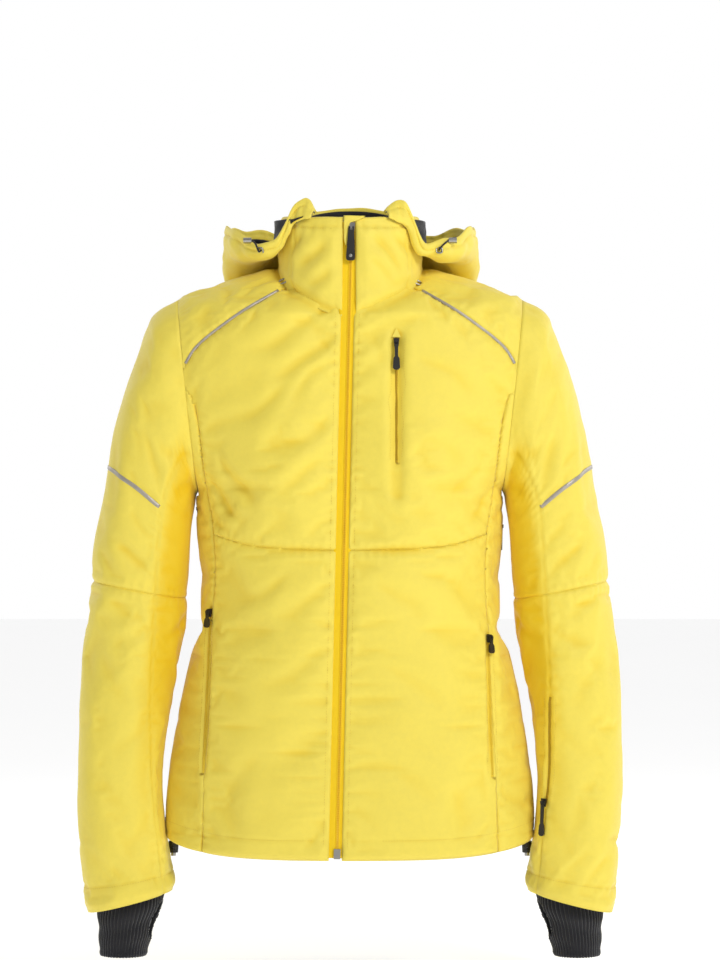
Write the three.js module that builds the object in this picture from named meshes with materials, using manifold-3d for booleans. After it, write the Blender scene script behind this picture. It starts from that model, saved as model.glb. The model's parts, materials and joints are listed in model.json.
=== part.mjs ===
// A women's insulated ski jacket, zipped up and in the shape it has when worn, in millimetres.
// +X is the wearer's left, -Y the front and +Z up. The origin is the middle of the underside of the
// hanger loop, at the centre back of the neck.
import * as THREE from "three";
import { mergeVertices } from "three/addons/utils/BufferGeometryUtils.js";
import Module from "manifold-3d";

const wasm = await Module();
wasm.setup();

// ---------------------------------------------------------------- driving dimensions

const bodyCentreY = -68.5; // the plane through both shoulder ridges
const sectionPower = 2.3; // exponent of the superellipse that every body section follows
const shellThickness = 6; // outer fabric with its insulation
const seamGap = 1; // between two panels sewn together
const hemHeight = { front: -647, side: -634, back: -664 };

const zipTop = { x: 1.5, z: 52 };
const zipBottom = { x: -14, z: -646 };
const zipEdge = { right: 9, left: 5.2 }; // how much tape shows beside the coil on each front
const frontLine = { y: -146.5, z: 58, slope: 0.0708 }; // the straight centre front, seen from the side

const collarTop = { front: 57, side: 62, back: 80 };
const collarShell = 4.5;
const collarLiningInset = 5;
const collarThickness = 7;

const armhole = { topX: 193, topZ: -31, bottomX: 171, bottomZ: -241 };
const sleeveShell = 5;
const elbowStation = 6.75;
const cuffStation = 12;

const pullLength = 37;
const hinge = { out: 4.6, up: 1 }; // a pull's hinge, from the middle of its slider's plate
const yellow = 0xf5e042;

// ---------------------------------------------------------------- small helpers

// A smooth curve through [position, value] pairs that never overshoots them.
function curveThrough(stations) {
  const last = stations.length - 1;
  const step = (i) => (stations[i + 1][1] - stations[i][1]) / (stations[i + 1][0] - stations[i][0]);
  const slopes = stations.map((_, i) => {
    if (i === 0) return step(0);
    if (i === last) return step(last - 1);
    const [a, b] = [step(i - 1), step(i)];
    return a * b <= 0 ? 0 : (2 * a * b) / (a + b);
  });
  return (at) => {
    if (at <= stations[0][0]) return stations[0][1];
    if (at >= stations[last][0]) return stations[last][1];
    const i = stations.findIndex((s) => s[0] > at) - 1;
    const width = stations[i + 1][0] - stations[i][0];
    const t = (at - stations[i][0]) / width;
    const rise = t * t * (3 - 2 * t);
    return (
      stations[i][1] * (1 - rise) +
      stations[i + 1][1] * rise +
      width * (slopes[i] * t * (1 - t) * (1 - t) - slopes[i + 1] * t * t * (1 - t))
    );
  };
}

const lerp = THREE.MathUtils.lerp;
const radians = THREE.MathUtils.degToRad;
const range = (from, to, count) => Array.from({ length: count + 1 }, (_, i) => lerp(from, to, i / count));
const signedPower = (v, p) => Math.sign(v) * Math.abs(v) ** p;

// A closed body from rings of points. Each ring joins the next, and in a loop the last joins the first.
// A ring that runs along one wall and back along the other splits both walls' quads the same way.
function loft(rings, { loop = false, twoWalled = false } = {}) {
  const around = rings[0].length;
  const points = rings.flat();
  const faces = [];
  const spans = loop ? rings.length : rings.length - 1;
  for (let i = 0; i < spans; i++) {
    const next = (i + 1) % rings.length;
    for (let j = 0; j < around; j++) {
      const k = (j + 1) % around;
      const [a, b, c, d] = [i * around + j, i * around + k, next * around + k, next * around + j];
      if (twoWalled && j >= around / 2) faces.push(a, b, d, b, c, d);
      else faces.push(a, b, c, a, c, d);
    }
  }
  if (!loop) {
    for (const [ring, first] of [[rings[0], 0], [rings[rings.length - 1], (rings.length - 1) * around]]) {
      const centre = ring.reduce((sum, p) => sum.add(p), new THREE.Vector3()).divideScalar(around);
      points.push(centre);
      for (let j = 0; j < around; j++) {
        const [p, q] = [first + j, first + ((j + 1) % around)];
        faces.push(...(first === 0 ? [points.length - 1, q, p] : [points.length - 1, p, q]));
      }
    }
  }
  return new THREE.BufferGeometry().setFromPoints(points).setIndex(faces);
}

// A geometry as a manifold-3d solid, turned the right way out.
function solid(geometry) {
  const bare = geometry.clone();
  bare.deleteAttribute("normal");
  bare.deleteAttribute("uv");
  const merged = mergeVertices(bare, 1e-4);
  const vertProperties = new Float32Array(merged.attributes.position.array);
  const triVerts = new Uint32Array(merged.index.array);
  const made = new wasm.Manifold(new wasm.Mesh({ numProp: 3, vertProperties, triVerts }));
  if (made.volume() >= 0) return made;
  for (let i = 0; i < triVerts.length; i += 3) {
    [triVerts[i + 1], triVerts[i + 2]] = [triVerts[i + 2], triVerts[i + 1]];
  }
  return new wasm.Manifold(new wasm.Mesh({ numProp: 3, vertProperties, triVerts }));
}

function geometryOf(made) {
  const mesh = made.getMesh();
  return new THREE.BufferGeometry()
    .setAttribute("position", new THREE.BufferAttribute(new Float32Array(mesh.vertProperties), 3))
    .setIndex(new THREE.BufferAttribute(new Uint32Array(mesh.triVerts), 1));
}

// Booleans can leave crumbs where a cutter grazes a wall, so only the largest body is kept.
function largestBody(made) {
  return made.decompose().sort((a, b) => b.volume() - a.volume())[0];
}

// A flat outline of [x, z] points, made into a prism that runs from one y to another.
function prism(outline, fromY, toY) {
  const shape = new THREE.Shape(outline.map(([x, z]) => new THREE.Vector2(x, z)));
  const block = new THREE.ExtrudeGeometry(shape, { depth: toY - fromY, bevelEnabled: false });
  block.rotateX(Math.PI / 2); // the outline's height becomes +Z and the depth runs to -Y
  block.translate(0, toY, 0);
  return solid(block);
}

const mirrorOutline = (outline, side) => outline.map(([x, z]) => [side * x, z]);

function box(x0, x1, y0, y1, z0, z1) {
  const block = new THREE.BoxGeometry(x1 - x0, y1 - y0, z1 - z0);
  return block.translate((x0 + x1) / 2, (y0 + y1) / 2, (z0 + z1) / 2);
}

// ---------------------------------------------------------------- materials

function fabric(color, roughness = 0.8) {
  return new THREE.MeshStandardMaterial({ color, roughness, metalness: 0 });
}

const materials = {
  shell: fabric(yellow),
  tape: fabric(0xf2c511, 0.7),
  coil: fabric(0xd9a900, 0.5),
  lining: fabric(0x1d1d20, 0.85),
  gaiter: fabric(0x202126, 0.9),
  reflective: new THREE.MeshStandardMaterial({ color: 0xa9a6a0, roughness: 0.35, metalness: 0.4 }),
  moulded: new THREE.MeshStandardMaterial({ color: 0x26231f, roughness: 0.45, metalness: 0 }),
  metal: new THREE.MeshStandardMaterial({ color: 0x8b8884, roughness: 0.3, metalness: 1 }),
};

const jacket = new THREE.Group();

function addPart(name, geometry, material, parent = jacket) {
  const mesh = new THREE.Mesh(geometry, material);
  mesh.name = name;
  parent.add(mesh);
  return mesh;
}

// ---------------------------------------------------------------- the body surface

const halfWidth = curveThrough([
  [-670, 206], [-600, 201], [-560, 197], [-500, 189], [-460, 182], [-425, 174], [-394, 166.5], [-345, 164],
  [-290, 168], [-262, 169.5], [-245, 171], [-225, 187], [-205, 202], [-180, 216], [-150, 228], [-110, 234],
  [-75, 228], [-55, 216], [-42, 203], [-31, 193], [-24, 180], [-17, 164], [-11, 150], [-4, 130],
  [2, 108], [7, 84], [10, 60],
]);
const neckDepth = curveThrough([
  [-50, 85.65], [-44, 82.5], [-38, 78], [-30, 68], [-20, 57], [-10, 46], [0, 34], [7, 22], [10, 14],
]);
const backDepth = curveThrough([
  [-670, 123], [-560, 118], [-480, 108], [-400, 98], [-345, 94], [-290, 98], [-220, 108], [-150, 112],
  [-100, 109], [-60, 102], [-30, 94], [-10, 87], [0, 82], [7, 76], [10, 60],
]);

const frontLineY = (z) => frontLine.y - frontLine.slope * (frontLine.z - z);
const frontDepth = (z) => (z <= -50 ? bodyCentreY - frontLineY(z) : neckDepth(z));
const zipX = (z) => lerp(zipBottom.x, zipTop.x, (z - zipBottom.z) / (zipTop.z - zipBottom.z));

// How far the bust stands out of the plain section.
function bust(x, z) {
  return 13 * Math.exp(-(((Math.abs(x) - 78) / 42) ** 2)) * Math.exp(-(((z + 215) / 75) ** 2));
}

// A point of the body at an angle (0 at the centre front, 90 degrees at the wearer's left) and a height.
function bodyPoint(angle, z, inset = 0) {
  const [s, c] = [Math.sin(angle), Math.cos(angle)];
  const x = (halfWidth(z) - inset) * signedPower(s, 2 / sectionPower);
  const depth = (c > 0 ? frontDepth(z) : backDepth(z)) - inset;
  const y = -depth * signedPower(c, 2 / sectionPower) - (c > 0 ? bust(x, z) * Math.sqrt(c) : 0);
  return new THREE.Vector3(x, bodyCentreY + y, z);
}

// The y of the front surface at a place seen from the front.
function frontY(x, z) {
  const share = Math.max(0, 1 - (Math.abs(x) / halfWidth(z)) ** sectionPower) ** (1 / sectionPower);
  const c = share ** (sectionPower / 2);
  return bodyCentreY - frontDepth(z) * share - bust(x, z) * Math.sqrt(c);
}

// The height of the shoulder surface above a place seen from the top.
function shoulderHeight(x, y) {
  let [low, high] = [-300, 10];
  for (let i = 0; i < 30; i++) {
    const z = (low + high) / 2;
    const depth = y < bodyCentreY ? frontDepth(z) : backDepth(z);
    const across = (Math.abs(x) / halfWidth(z)) ** sectionPower;
    const along = (Math.abs(y - bodyCentreY) / depth) ** sectionPower;
    if (across + along < 1) low = z;
    else high = z;
  }
  return low;
}

const aroundBody = 28;

// The hem dips at the front and the back, so the lowest rows follow it.
function hemAt(angle) {
  const [s, c] = [Math.sin(angle), Math.cos(angle)];
  return lerp(c > 0 ? hemHeight.front : hemHeight.back, hemHeight.side, s ** 4);
}

function bodyRing(z, inset, fromHem = 0) {
  return range(0, 2 * Math.PI, aroundBody).slice(0, -1).map((angle) => {
    const height = fromHem > 0 ? lerp(z, hemAt(angle), fromHem) : z;
    return bodyPoint(angle, height, inset);
  });
}

const hemRow = -560;
const bodyRows = [
  hemRow, -490, -430, -385, -335, -290, -250, -215, -170, -120, -84, -58, -42, -30, -18, -7, 5,
];

// The ring at a height of the layer that lies inset under the outer surface, also lowered at the shoulders.
function layerRing(z, inset) {
  const ring = bodyRing(z, inset);
  const lowered = 0.7 * inset * THREE.MathUtils.smoothstep(z, -150, -45);
  ring.forEach((p) => (p.z -= lowered));
  return ring;
}

function bodySolid(inset, openHem) {
  const hem = bodyRing(hemRow, inset, 1);
  if (openHem) hem.forEach((p) => (p.z -= 5));
  return solid(loft([hem, ...bodyRows.map((z) => layerRing(z, inset))]));
}

const neckCut = () => {
  const ring = (z) =>
    range(0, 2 * Math.PI, aroundBody).slice(0, -1).map((angle) => collarPoint(angle, z, collarThickness));
  return solid(loft([ring(-70), ring(0), ring(60)]));
};

// ---------------------------------------------------------------- the collar

function collarPoint(angle, z, inset) {
  const [s, c] = [Math.sin(angle), Math.cos(angle)];
  const width = 82 - 0.07 * z - inset;
  const depth = (c > 0 ? bodyCentreY - frontLineY(z) : 83 - 0.04 * z) - inset;
  return new THREE.Vector3(
    width * signedPower(s, 2 / sectionPower),
    bodyCentreY - depth * signedPower(c, 2 / sectionPower),
    z,
  );
}

function collarTopAt(angle) {
  const c = Math.cos(angle);
  return lerp(collarTop.side, c > 0 ? collarTop.front : collarTop.back, c * c);
}

// The lower edge of the collar sits just above the shoulder surface.
function collarBase(angle, inset) {
  let z = 0;
  for (let i = 0; i < 4; i++) {
    const p = collarPoint(angle, z, inset);
    z = shoulderHeight(p.x, p.y);
  }
  return z + 1.6 * seamGap;
}

function collarLayer(outerInset, innerInset, topDrop) {
  const sections = range(0, 2 * Math.PI, 30).slice(0, -1).map((angle) => {
    const top = collarTopAt(angle) - topDrop;
    const wall = (inset) =>
      range(collarBase(angle, inset), top, 2).map((z) => collarPoint(angle, z, inset));
    return [...wall(outerInset), ...wall(innerInset).reverse()];
  });
  return solid(loft(sections, { loop: true, twoWalled: true }));
}

// ---------------------------------------------------------------- the zip slot and the panels

function zipSlot(extraRight = 0, extraLeft = 0) {
  const [low, high] = [-720, 130];
  return prism(
    [
      [zipX(low) - zipEdge.right - extraRight, low],
      [zipX(low) + zipEdge.left + extraLeft, low],
      [zipX(high) + zipEdge.left + extraLeft, high],
      [zipX(high) - zipEdge.right - extraRight, high],
    ],
    -400,
    bodyCentreY,
  );
}

// Everything outside the armhole plane on one side.
function armholeCut(side, clearance) {
  const slope = (armhole.topX - armhole.bottomX) / (armhole.topZ - armhole.bottomZ);
  const edge = (z) => armhole.bottomX + slope * (z - armhole.bottomZ) - clearance;
  return prism(
    mirrorOutline([[edge(-246), -246], [300, -246], [300, 60], [edge(60), 60]], side),
    -400,
    200,
  );
}

// Seams of the wearer's left half as [x, z] points; the right half mirrors them.
const pipingSeam = [
  [70, -17], [80, -23], [100, -35], [121, -48], [143, -63.5], [162.5, -78.5], [174, -90], [182, -104],
  [190, -122],
];
const sideSeam = [
  [190, -128], [176, -140], [168, -175], [162, -235], [153, -290], [151, -335], [153, -380], [157, -440],
  [160, -520], [166, -700],
];
const chestSeam = [[-12, -310], [60, -309], [110, -305], [153, -293]];
const backYokeZ = -112;
const backSideSeam = [[190, -160], [150, -175], [128, -260], [120, -340], [126, -450], [136, -700]];

const frontSide = (outline) => (side) => prism(mirrorOutline(outline, side), -400, bodyCentreY - 0.4);
const backSide = (outline) => (side) => prism(mirrorOutline(outline, side), bodyCentreY + 0.4, 200);

// An outline moved sideways or up by half a seam's gap.
const shifted = (outline, dx, dz) => outline.map(([x, z]) => [x + dx, z + dz]);
const half = seamGap / 2;

const chestRegion = frontSide([
  ...shifted(chestSeam, 0, half),
  ...shifted(sideSeam.slice(0, 5), -half, 0).reverse().slice(1),
  ...shifted(pipingSeam, 0, -half).reverse(),
  [70, 60],
  [-12, 60],
]);
const lowerRegion = frontSide([
  ...shifted(chestSeam, 0, -half),
  ...shifted(sideSeam.slice(5), -half, 0),
  [-30, -700],
]);
const yokeRegion = frontSide([...shifted(pipingSeam, 0, half), [260, -122], [260, 60], [70, 60]]);
const sideFrontRegion = frontSide([...shifted(sideSeam, half, 0), [300, -700], [300, -128]]);
const sideBackRegion = backSide([...shifted(backSideSeam, half, 0), [300, -700], [300, -160]]);

function buildPanels() {
  const shell = bodySolid(0, false)
    .subtract(bodySolid(shellThickness, true))
    .subtract(neckCut())
    .subtract(zipSlot())
    .subtract(armholeCut(1, half))
    .subtract(armholeCut(-1, half));
  const panels = {};
  for (const [side, label] of [[1, "left"], [-1, "right"]]) {
    panels[`chest_panel_${label}`] = shell.intersect(chestRegion(side));
    panels[`front_panel_${label}`] = shell.intersect(lowerRegion(side));
    panels[`shoulder_yoke_${label}`] = shell.intersect(yokeRegion(side));
    const sideFront = shell.intersect(sideFrontRegion(side));
    const overlap = prism(mirrorOutline([[140, -700], [300, -700], [300, -128], [140, -128]], side),
      bodyCentreY - 0.5, bodyCentreY + 0.5).intersect(shell);
    const sideBack = shell.intersect(sideBackRegion(side));
    panels[`side_panel_${label}`] = sideFront.add(sideBack).add(overlap.subtract(armholeCut(side, half)));
  }
  const yokeOutline = [[-260, backYokeZ + half], [260, backYokeZ + half], [260, 60], [-260, 60]];
  panels.back_yoke = shell.intersect(backSide(yokeOutline)(1));
  const leftEdge = shifted(backSideSeam, -half, 0);
  const backOutline = [
    [190, backYokeZ - half],
    ...leftEdge,
    ...mirrorOutline(leftEdge, -1).reverse(),
    [-190, backYokeZ - half],
  ];
  panels.back_panel = shell.intersect(backSide(backOutline)(1));
  return panels;
}

// ---------------------------------------------------------------- frames for straight zips

// A group whose Z runs up the straight line between two points and whose -Y faces out of the fabric.
function lineFrame(top, bottom, outward) {
  const up = top.clone().sub(bottom).normalize();
  const inward = outward.clone().negate();
  inward.addScaledVector(up, -inward.dot(up)).normalize();
  const lateral = new THREE.Vector3().crossVectors(inward, up);
  const frame = new THREE.Group();
  frame.quaternion.setFromRotationMatrix(new THREE.Matrix4().makeBasis(lateral, inward, up));
  frame.position.copy(top);
  frame.updateMatrix();
  jacket.add(frame);
  return { frame, length: top.distanceTo(bottom), matrix: frame.matrix };
}

// A flat plate cut to a drawing whose height is Z. It reaches from y out to y - thickness.
function moulding(shape, thickness, y) {
  const options = { depth: thickness, bevelEnabled: false, curveSegments: 5 };
  const plate = new THREE.ExtrudeGeometry(shape, options);
  return plate.rotateX(Math.PI / 2).translate(0, y, 0);
}

function barAcross(radius, length) {
  return new THREE.CylinderGeometry(radius, radius, length, 8).rotateZ(Math.PI / 2);
}

// A slider: a wedge plate with a lug, whose eye holds the pull's bar at the hinge.
function sliderBody(width, length) {
  const plate = new THREE.Shape();
  plate.moveTo(-width / 2, length / 2);
  plate.lineTo(-width * 0.36, -length / 2);
  plate.lineTo(width * 0.36, -length / 2);
  plate.lineTo(width / 2, length / 2);
  plate.closePath();
  const lug = box(-1.1, 1.1, -hinge.out - 1.7, -2.5, hinge.up - 2, hinge.up + 2);
  const eye = barAcross(1.05, 6).translate(0, -hinge.out, hinge.up);
  return geometryOf(solid(moulding(plate, 2.4, -0.3)).add(solid(lug)).subtract(solid(eye)));
}

// A pull: a plate that forks round the lug, with a bar across the fork at the hinge. The outline is its
// right half as [x, z below the hinge], from the fork's foot to the middle of the lower end.
function pullBody(outline) {
  const fork = { inside: 1.5, outside: 2.9, top: 0.9, foot: -3.2 };
  const half = [[fork.inside, fork.foot], [fork.inside, fork.top], [fork.outside, fork.top], ...outline];
  const points = [...half, ...mirrorOutline(half, -1).reverse()].filter(([x, z], i, all) => {
    const [px, pz] = all[(i + all.length - 1) % all.length];
    return Math.hypot(x - px, z - pz) > 0.01;
  });
  const shape = new THREE.Shape(points.map(([x, z]) => new THREE.Vector2(x, z + hinge.up)));
  const bar = barAcross(0.7, 2 * fork.outside).translate(0, -hinge.out, hinge.up);
  return geometryOf(solid(moulding(shape, 1.8, -hinge.out + 0.9)).add(solid(bar)));
}

// A short doubled cord with a moulded tab at its end.
function cordPull({ cord, tab, width }) {
  const end = -cord - tab;
  return pullBody([
    [2, -4], [1.8, -cord], [width / 2 - 0.7, -cord - 2], [width / 2, end + 2.5], [width / 2 - 1.5, end + 0.4],
    [0, end],
  ]);
}

// A pocket or vent zip: the strip in its slot, a slider and a pull. sliderDrop is how far down the line the
// slider sits.
function pocketZip(label, top, bottom, outward, sliderDrop, pull, garage = false) {
  const line = lineFrame(top, bottom, outward);
  const strip = solid(box(-3.6, 3.6, 0, shellThickness - 1, -line.length, 0));
  const groove = solid(box(-0.6, 0.6, -1, 1.2, -line.length + 4, -4));
  addPart(`${label}_zip`, geometryOf(strip.subtract(groove)), materials.tape, line.frame);
  const carriage = new THREE.Group();
  carriage.position.z = -sliderDrop;
  line.frame.add(carriage);
  addPart(`${label}_slider`, sliderBody(6.4, 9), materials.moulded, carriage);
  addPart(`${label}_pull`, cordPull(pull), materials.moulded, carriage);
  if (garage) {
    const flap = new THREE.Shape([[-5, -2.4], [5, -2.4], [0, 8]].map(([x, z]) => new THREE.Vector2(x, z)));
    addPart(`${label}_zip_garage`, moulding(flap, 1.4, -0.9), materials.shell, line.frame);
  }
  const slot = solid(box(-4.1, 4.1, -8, 20, -line.length - 0.5, 0.5)).transform(line.matrix.elements);
  return slot;
}

// ---------------------------------------------------------------- the sleeves

// Each station of the wearer's left sleeve: its outer and inner edge, its middle in y and half its depth.
const sleeveStations = [
  [193, -31, 171, -241, -65, 70],
  [217, -46, 172, -250, -66, 69],
  [238, -90, 172.5, -262, -68, 67],
  [252, -140, 173.5, -276, -70, 65],
  [264, -200, 175, -292, -72, 63],
  [273, -255, 177, -312, -73, 61],
  [282, -305, 180, -340, -74, 59],
  [288, -361, 185, -376, -76, 57],
  [294, -427, 193, -432, -80, 55],
  [298, -500, 201, -500, -86, 53],
  [299, -570, 207, -566, -92, 51],
  [297, -640, 203, -634, -97, 49],
  [291, -714, 197, -690, -101, 47],
];
const sleeveCurves = range(0, 5, 5).map((k) => curveThrough(sleeveStations.map((s, i) => [i, s[k]])));

// A point of a sleeve: the station along it, and an angle, 0 at the outer edge and 90 degrees at the front.
function sleevePoint(station, angle, inset, side = 1) {
  const [ox, oz, ix, iz, y, depth] = sleeveCurves.map((curve) => curve(station));
  const reach = Math.hypot(ox - ix, oz - iz) / 2;
  const across = ((reach - inset) / reach) * signedPower(Math.cos(angle), 2 / 2.2);
  const x = (ox + ix) / 2 + (across * (ox - ix)) / 2;
  const z = (oz + iz) / 2 + (across * (oz - iz)) / 2;
  return new THREE.Vector3(side * x, y - (depth - inset) * signedPower(Math.sin(angle), 2 / 2.2), z);
}

const aroundSleeve = 16;

function sleeveTube(from, to, rows, side, outerInset, innerInset, push) {
  const ring = (station, inset) =>
    range(0, 2 * Math.PI, aroundSleeve).slice(0, -1).map((angle) => {
      const p = sleevePoint(station, angle, inset, side);
      p.x += side * push;
      return p;
    });
  const outer = range(from, to, rows).map((station) => ring(station, outerInset));
  const inner = range(from, to, rows).map((station) => ring(station, innerInset));
  return solid(loft([...outer, ...inner.reverse()], { loop: true }));
}

// The knitted wrist gaiter: a tapered tube with a thumb opening on the side that faces the body.
const gaiterStations = [
  [248, -655, 37, -98, 38],
  [245, -695, 36, -101, 35],
  [250, -732, 29, -103, 28],
  [253, -762, 24, -104, 24],
];
const gaiterCurves = range(0, 4, 4).map((k) => curveThrough(gaiterStations.map((s, i) => [i, s[k]])));

function gaiter(side) {
  const ring = (station, inset) =>
    range(0, 2 * Math.PI, 14).slice(0, -1).map((angle) => {
      const [x, z, width, y, depth] = gaiterCurves.map((curve) => curve(station));
      return new THREE.Vector3(
        side * (x + (width - inset) * Math.cos(angle)), y - (depth - inset) * Math.sin(angle), z);
    });
  const rows = range(0, 3, 5);
  const walls = [...rows.map((s) => ring(s, 0)), ...rows.reverse().map((s) => ring(s, 2))];
  const tube = solid(loft(walls, { loop: true }));
  const thumb = new THREE.CylinderGeometry(1, 1, 40, 14).rotateZ(Math.PI / 2).scale(1, 12, 22);
  thumb.translate(side * 214, -108, -722);
  return tube.subtract(solid(thumb));
}

// The reflective tape round the upper arm: it slants down from the outside of the arm to the front.
function armBand(side) {
  const sections = range(-100, 102, 14).map((degrees) => {
    const angle = radians(degrees);
    const station = 4.2 + 0.12 * Math.cos(angle);
    const corner = (along, out) => sleevePoint(station + along, angle, -out, side);
    return [corner(-0.045, 1), corner(-0.045, 1.7), corner(0.045, 1.7), corner(0.045, 1)];
  });
  return solid(loft(sections));
}

// ---------------------------------------------------------------- the hood, lying down behind the collar

// Sections of the open pouch as [out from the collar, z] points, from the collar seam down, round and up
// to the rim. The angle is 0 at the centre back.
const hoodSections = [
  {
    angle: 0,
    points: [
      [4, 26], [18, -8], [27, -40], [36, -78], [47, -104], [64, -108], [80, -84], [88, -40], [88, 2], [80, 48],
    ],
  },
  {
    angle: 45,
    points: [
      [4, 24], [16, 6], [28, -10], [40, -28], [54, -52], [68, -62], [80, -46], [88, -14], [87, 22], [78, 58],
    ],
  },
  {
    angle: 88,
    points: [[4, 24], [9, 17], [16, 12], [25, 10], [34, 9], [43, 10], [51, 14], [57, 24], [60, 40], [57, 55]],
  },
  {
    angle: 112,
    points: [[4, 26], [7, 20], [12, 15], [18, 13], [24, 13], [30, 16], [35, 21], [37, 27], [36, 33], [33, 38]],
  },
  {
    angle: 126,
    points: [[4, 32], [6, 26], [9, 21], [13, 19], [17, 20], [20, 24], [21, 30], [20, 38], [18, 48], [14, 58]],
  },
];
const hoodCurves = hoodSections[0].points.map((_, i) =>
  [0, 1].map((k) => curveThrough(hoodSections.map((s) => [s.angle, s.points[i][k]]))));
const hoodEnd = 126;
const hoodClearance = 7;

// The collar's outer face at an angle from the centre back, with the horizontal direction out of it.
function hoodBase(degrees, z) {
  const angle = Math.PI - radians(degrees);
  const base = collarPoint(angle, Math.min(z, 40), 0);
  return [base, new THREE.Vector3(Math.sin(angle) / 82, -Math.cos(angle) / 83, 0).normalize()];
}

function hoodPoint(degrees, line) {
  const [base, normal] = hoodBase(degrees, line.y);
  return base.addScaledVector(normal, line.x).setZ(line.y);
}

// The pouch's outer face in one section, kept clear of the shoulders.
function hoodLine(degrees) {
  return hoodCurves.map((curves) => {
    const [out, z] = curves.map((curve) => curve(Math.abs(degrees)));
    const point = hoodPoint(degrees, new THREE.Vector2(out, z));
    const floor = Math.max(shoulderHeight(point.x, point.y) + hoodClearance, z - 60);
    return new THREE.Vector2(out, z + 8 * Math.log(1 + Math.exp((floor - z) / 8)));
  });
}

// The pouch's wall from one depth inside its outer face to another.
function hoodLayer(outerInset, innerInset) {
  const grid = range(-hoodEnd, hoodEnd, 20).map((degrees) =>
    hoodLine(degrees).map((p) => hoodPoint(degrees, p)));
  const between = (a, b) => new THREE.Vector3().subVectors(b, a);
  const sections = grid.map((line, i) => {
    const thin = lerp(0.6, 1, Math.min(i, grid.length - 1 - i, 5) / 5);
    const inward = line.map((_, j) => {
      const along = between(line[Math.max(j - 1, 0)], line[Math.min(j + 1, line.length - 1)]);
      const around = between(grid[Math.max(i - 1, 0)][j], grid[Math.min(i + 1, grid.length - 1)][j]);
      return around.cross(along).normalize();
    });
    const layer = (inset) => line.map((p, j) => p.clone().addScaledVector(inward[j], inset * thin));
    return [...layer(outerInset), ...layer(innerInset).reverse()];
  });
  return solid(loft(sections, { twoWalled: true }));
}

// ---------------------------------------------------------------- parts of the root body

function buildCollar() {
  addPart("collar_shell", geometryOf(collarLayer(0, collarShell, 0).subtract(zipSlot())), materials.shell);
  const lining = collarLayer(collarLiningInset, collarThickness, 0.5).subtract(zipSlot());
  addPart("collar_lining", geometryOf(lining), materials.lining);
}

// A strip with its wide faces up and down, bridging two legs that end at the neck seam.
function buildHangerLoop() {
  const [halfSpan, legWidth, depth] = [26, 3, 3];
  const bridge = solid(box(-halfSpan - legWidth, halfSpan + legWidth, -depth, depth, 0, 2));
  const leg = (side) => {
    const edges = [side * halfSpan, side * (halfSpan + legWidth)].sort((a, b) => a - b);
    return solid(box(edges[0], edges[1], -depth, depth, -12, 1));
  };
  addPart("hanger_loop", geometryOf(bridge.add(leg(1)).add(leg(-1))), materials.lining);
}

function buildLining() {
  const rows = bodyRows.filter((z) => z < -50);
  const walls = (inset) => rows.map((z) => layerRing(z, inset));
  const tube = solid(loft([...walls(8.5), ...walls(10).reverse()], { loop: true }))
    .subtract(zipSlot(14, 14))
    .subtract(armholeCut(1, 6))
    .subtract(armholeCut(-1, 6));
  addPart("body_lining", geometryOf(largestBody(tube)), materials.lining);
}

function buildPowderSkirt() {
  const rows = [[-490, 12], [-560, 20], [-605, 27]];
  const walls = (extra) => rows.map(([z, inset]) => bodyRing(z, inset + extra));
  const tube = solid(loft([...walls(0), ...walls(1.6).reverse()], { loop: true }));
  addPart("powder_skirt", geometryOf(tube.subtract(zipSlot(24, 24))), materials.lining);
}

function buildPiping(side, label) {
  const inset = pipingSeam.slice(1, -1).map(([x, z]) => new THREE.Vector3(side * x, frontY(x, z) - 2, z));
  const path = new THREE.CatmullRomCurve3(inset);
  const section = new THREE.Shape();
  section.absarc(0, 0, 1.3, 0, 2 * Math.PI);
  const cord = new THREE.ExtrudeGeometry(section, { steps: 11, curveSegments: 2, extrudePath: path });
  addPart(`reflective_piping_${label}`, geometryOf(solid(cord)), materials.reflective);
}

function buildMainZip() {
  const top = new THREE.Vector3(zipTop.x, frontLineY(zipTop.z), zipTop.z);
  const bottom = new THREE.Vector3(zipBottom.x, frontLineY(zipBottom.z), zipBottom.z);
  const { frame, length } = lineFrame(top, bottom, new THREE.Vector3(0, -1, 0));
  addPart("zip_tape_right", box(-zipEdge.right + 0.5, -2, 1.2, 2.4, -length + 2, 0), materials.tape, frame);
  addPart("zip_tape_left", box(2, zipEdge.left - 0.5, 1.2, 2.4, -length + 2, 0), materials.tape, frame);
  addPart("zip_coil", box(-1.6, 1.6, 0.4, 2.8, -length + 14, -1), materials.coil, frame);
  addPart("zip_bottom_box", box(-3.6, 3.6, -1.6, 0.9, -length + 1, -length + 12), materials.metal, frame);
  addPart("wind_flap", box(-12, 8, 11.5, 13, -length + 40, -8), materials.shell, frame);
  const carriage = new THREE.Group();
  carriage.position.z = -8;
  frame.add(carriage);
  addPart("main_slider", sliderBody(8.6, 13), materials.metal, carriage);
  const leaf = [
    [3.4, -5], [5, 3 - pullLength], [4.4, 0.9 - pullLength], [2.6, -pullLength], [0, -pullLength],
  ];
  addPart("main_pull", pullBody(leaf), materials.moulded, carriage);
  const guard = new THREE.Shape([[7.4, -1], [16, -3], [8.4, -27]].map(([x, z]) => new THREE.Vector2(x, z)));
  addPart("chin_guard", moulding(guard, 1.6, -0.4), materials.shell, frame);
}

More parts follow.
